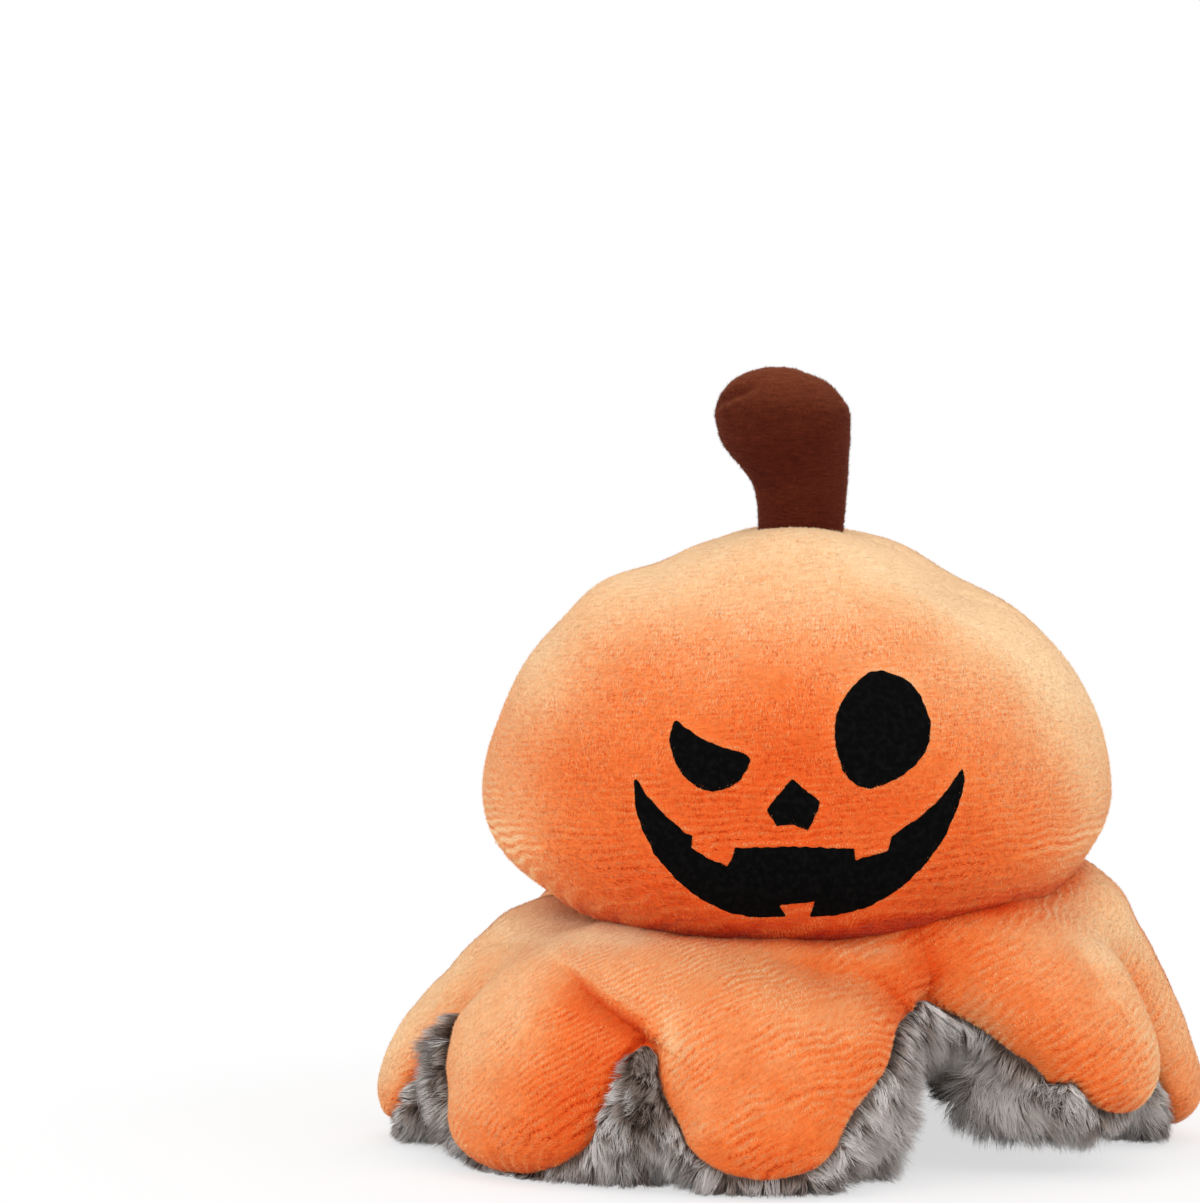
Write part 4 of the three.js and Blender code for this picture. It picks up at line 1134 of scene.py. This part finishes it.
def makeRoom():
    plane = bmesh.new()
    bmesh.ops.create_grid(plane, x_segments=2, y_segments=2, size=3)
    mesh = bpy.data.meshes.new("floor")
    plane.to_mesh(mesh)
    floor = bpy.data.objects.new("floor", mesh)
    scene.collection.objects.link(floor)
    finish = Finish("floor", Roughness=0.9, Specular_IOR_Level=0.1, Base_Color=(*room["floor"], 1))
    place = finish.node("ShaderNodeNewGeometry")
    out = finish.node("ShaderNodeVectorMath", {"operation": "LENGTH"}, {0: place}, output=1)
    seen = finish.node("ShaderNodeLightPath")
    white = finish.node("ShaderNodeEmission", None, {"Color": (1, 1, 1, 1)})
    shown = finish.node("ShaderNodeMixShader", None,
                        {0: (out.between(*room["clear"]) * (1 - room["white"]) + room["white"]) * seen,
                         1: Link(finish, finish.shader.outputs[0]), 2: white})
    finish.tree.links.new(shown.socket, finish.tree.nodes["Material Output"].inputs["Surface"])
    mesh.materials.append(finish.material)
    for name in ("key", "fill", "top"):
        lamp = bpy.data.lights.new(name, "AREA")
        lamp.shape, lamp.size, lamp.energy = "DISK", room[name]["size"], room[name]["watts"]
        holder = bpy.data.objects.new(name, lamp)
        holder.location = room[name]["place"]
        holder.rotation_euler = (Vector((0, 0, 0.08)) - holder.location).to_track_quat("-Z", "Y").to_euler()
        scene.collection.objects.link(holder)
    world = bpy.data.worlds.new("room")
    world.use_nodes = True
    scene.world = world
    tree = world.node_tree
    backdrop = tree.nodes["Background"]
    backdrop.inputs["Color"].default_value = (1, 1, 1, 1)
    rays = tree.nodes.new("ShaderNodeLightPath")
    seen = tree.nodes.new("ShaderNodeMath")
    seen.operation = "MAXIMUM"
    tree.links.new(rays.outputs["Is Camera Ray"], seen.inputs[0])
    tree.links.new(rays.outputs["Is Glossy Ray"], seen.inputs[1])
    strength = tree.nodes.new("ShaderNodeMapRange")
    strength.inputs["To Min"].default_value = room["world"]
    strength.inputs["To Max"].default_value = 1.0
    tree.links.new(seen.outputs[0], strength.inputs["Value"])
    tree.links.new(strength.outputs[0], backdrop.inputs["Strength"])


makeRoom()
camera = bpy.data.objects.new("camera", bpy.data.cameras.new("camera"))
camera.data.lens, camera.data.sensor_width = view["lens"], 36
camera.location = Vector(view["place"]) * mm
camera.rotation_euler = (Vector(view["aim"]) * mm - camera.location).to_track_quat("-Z", "Y").to_euler()
scene.collection.objects.link(camera)
scene.camera = camera
scene.view_settings.view_transform = "Standard"
print("stage: room made")
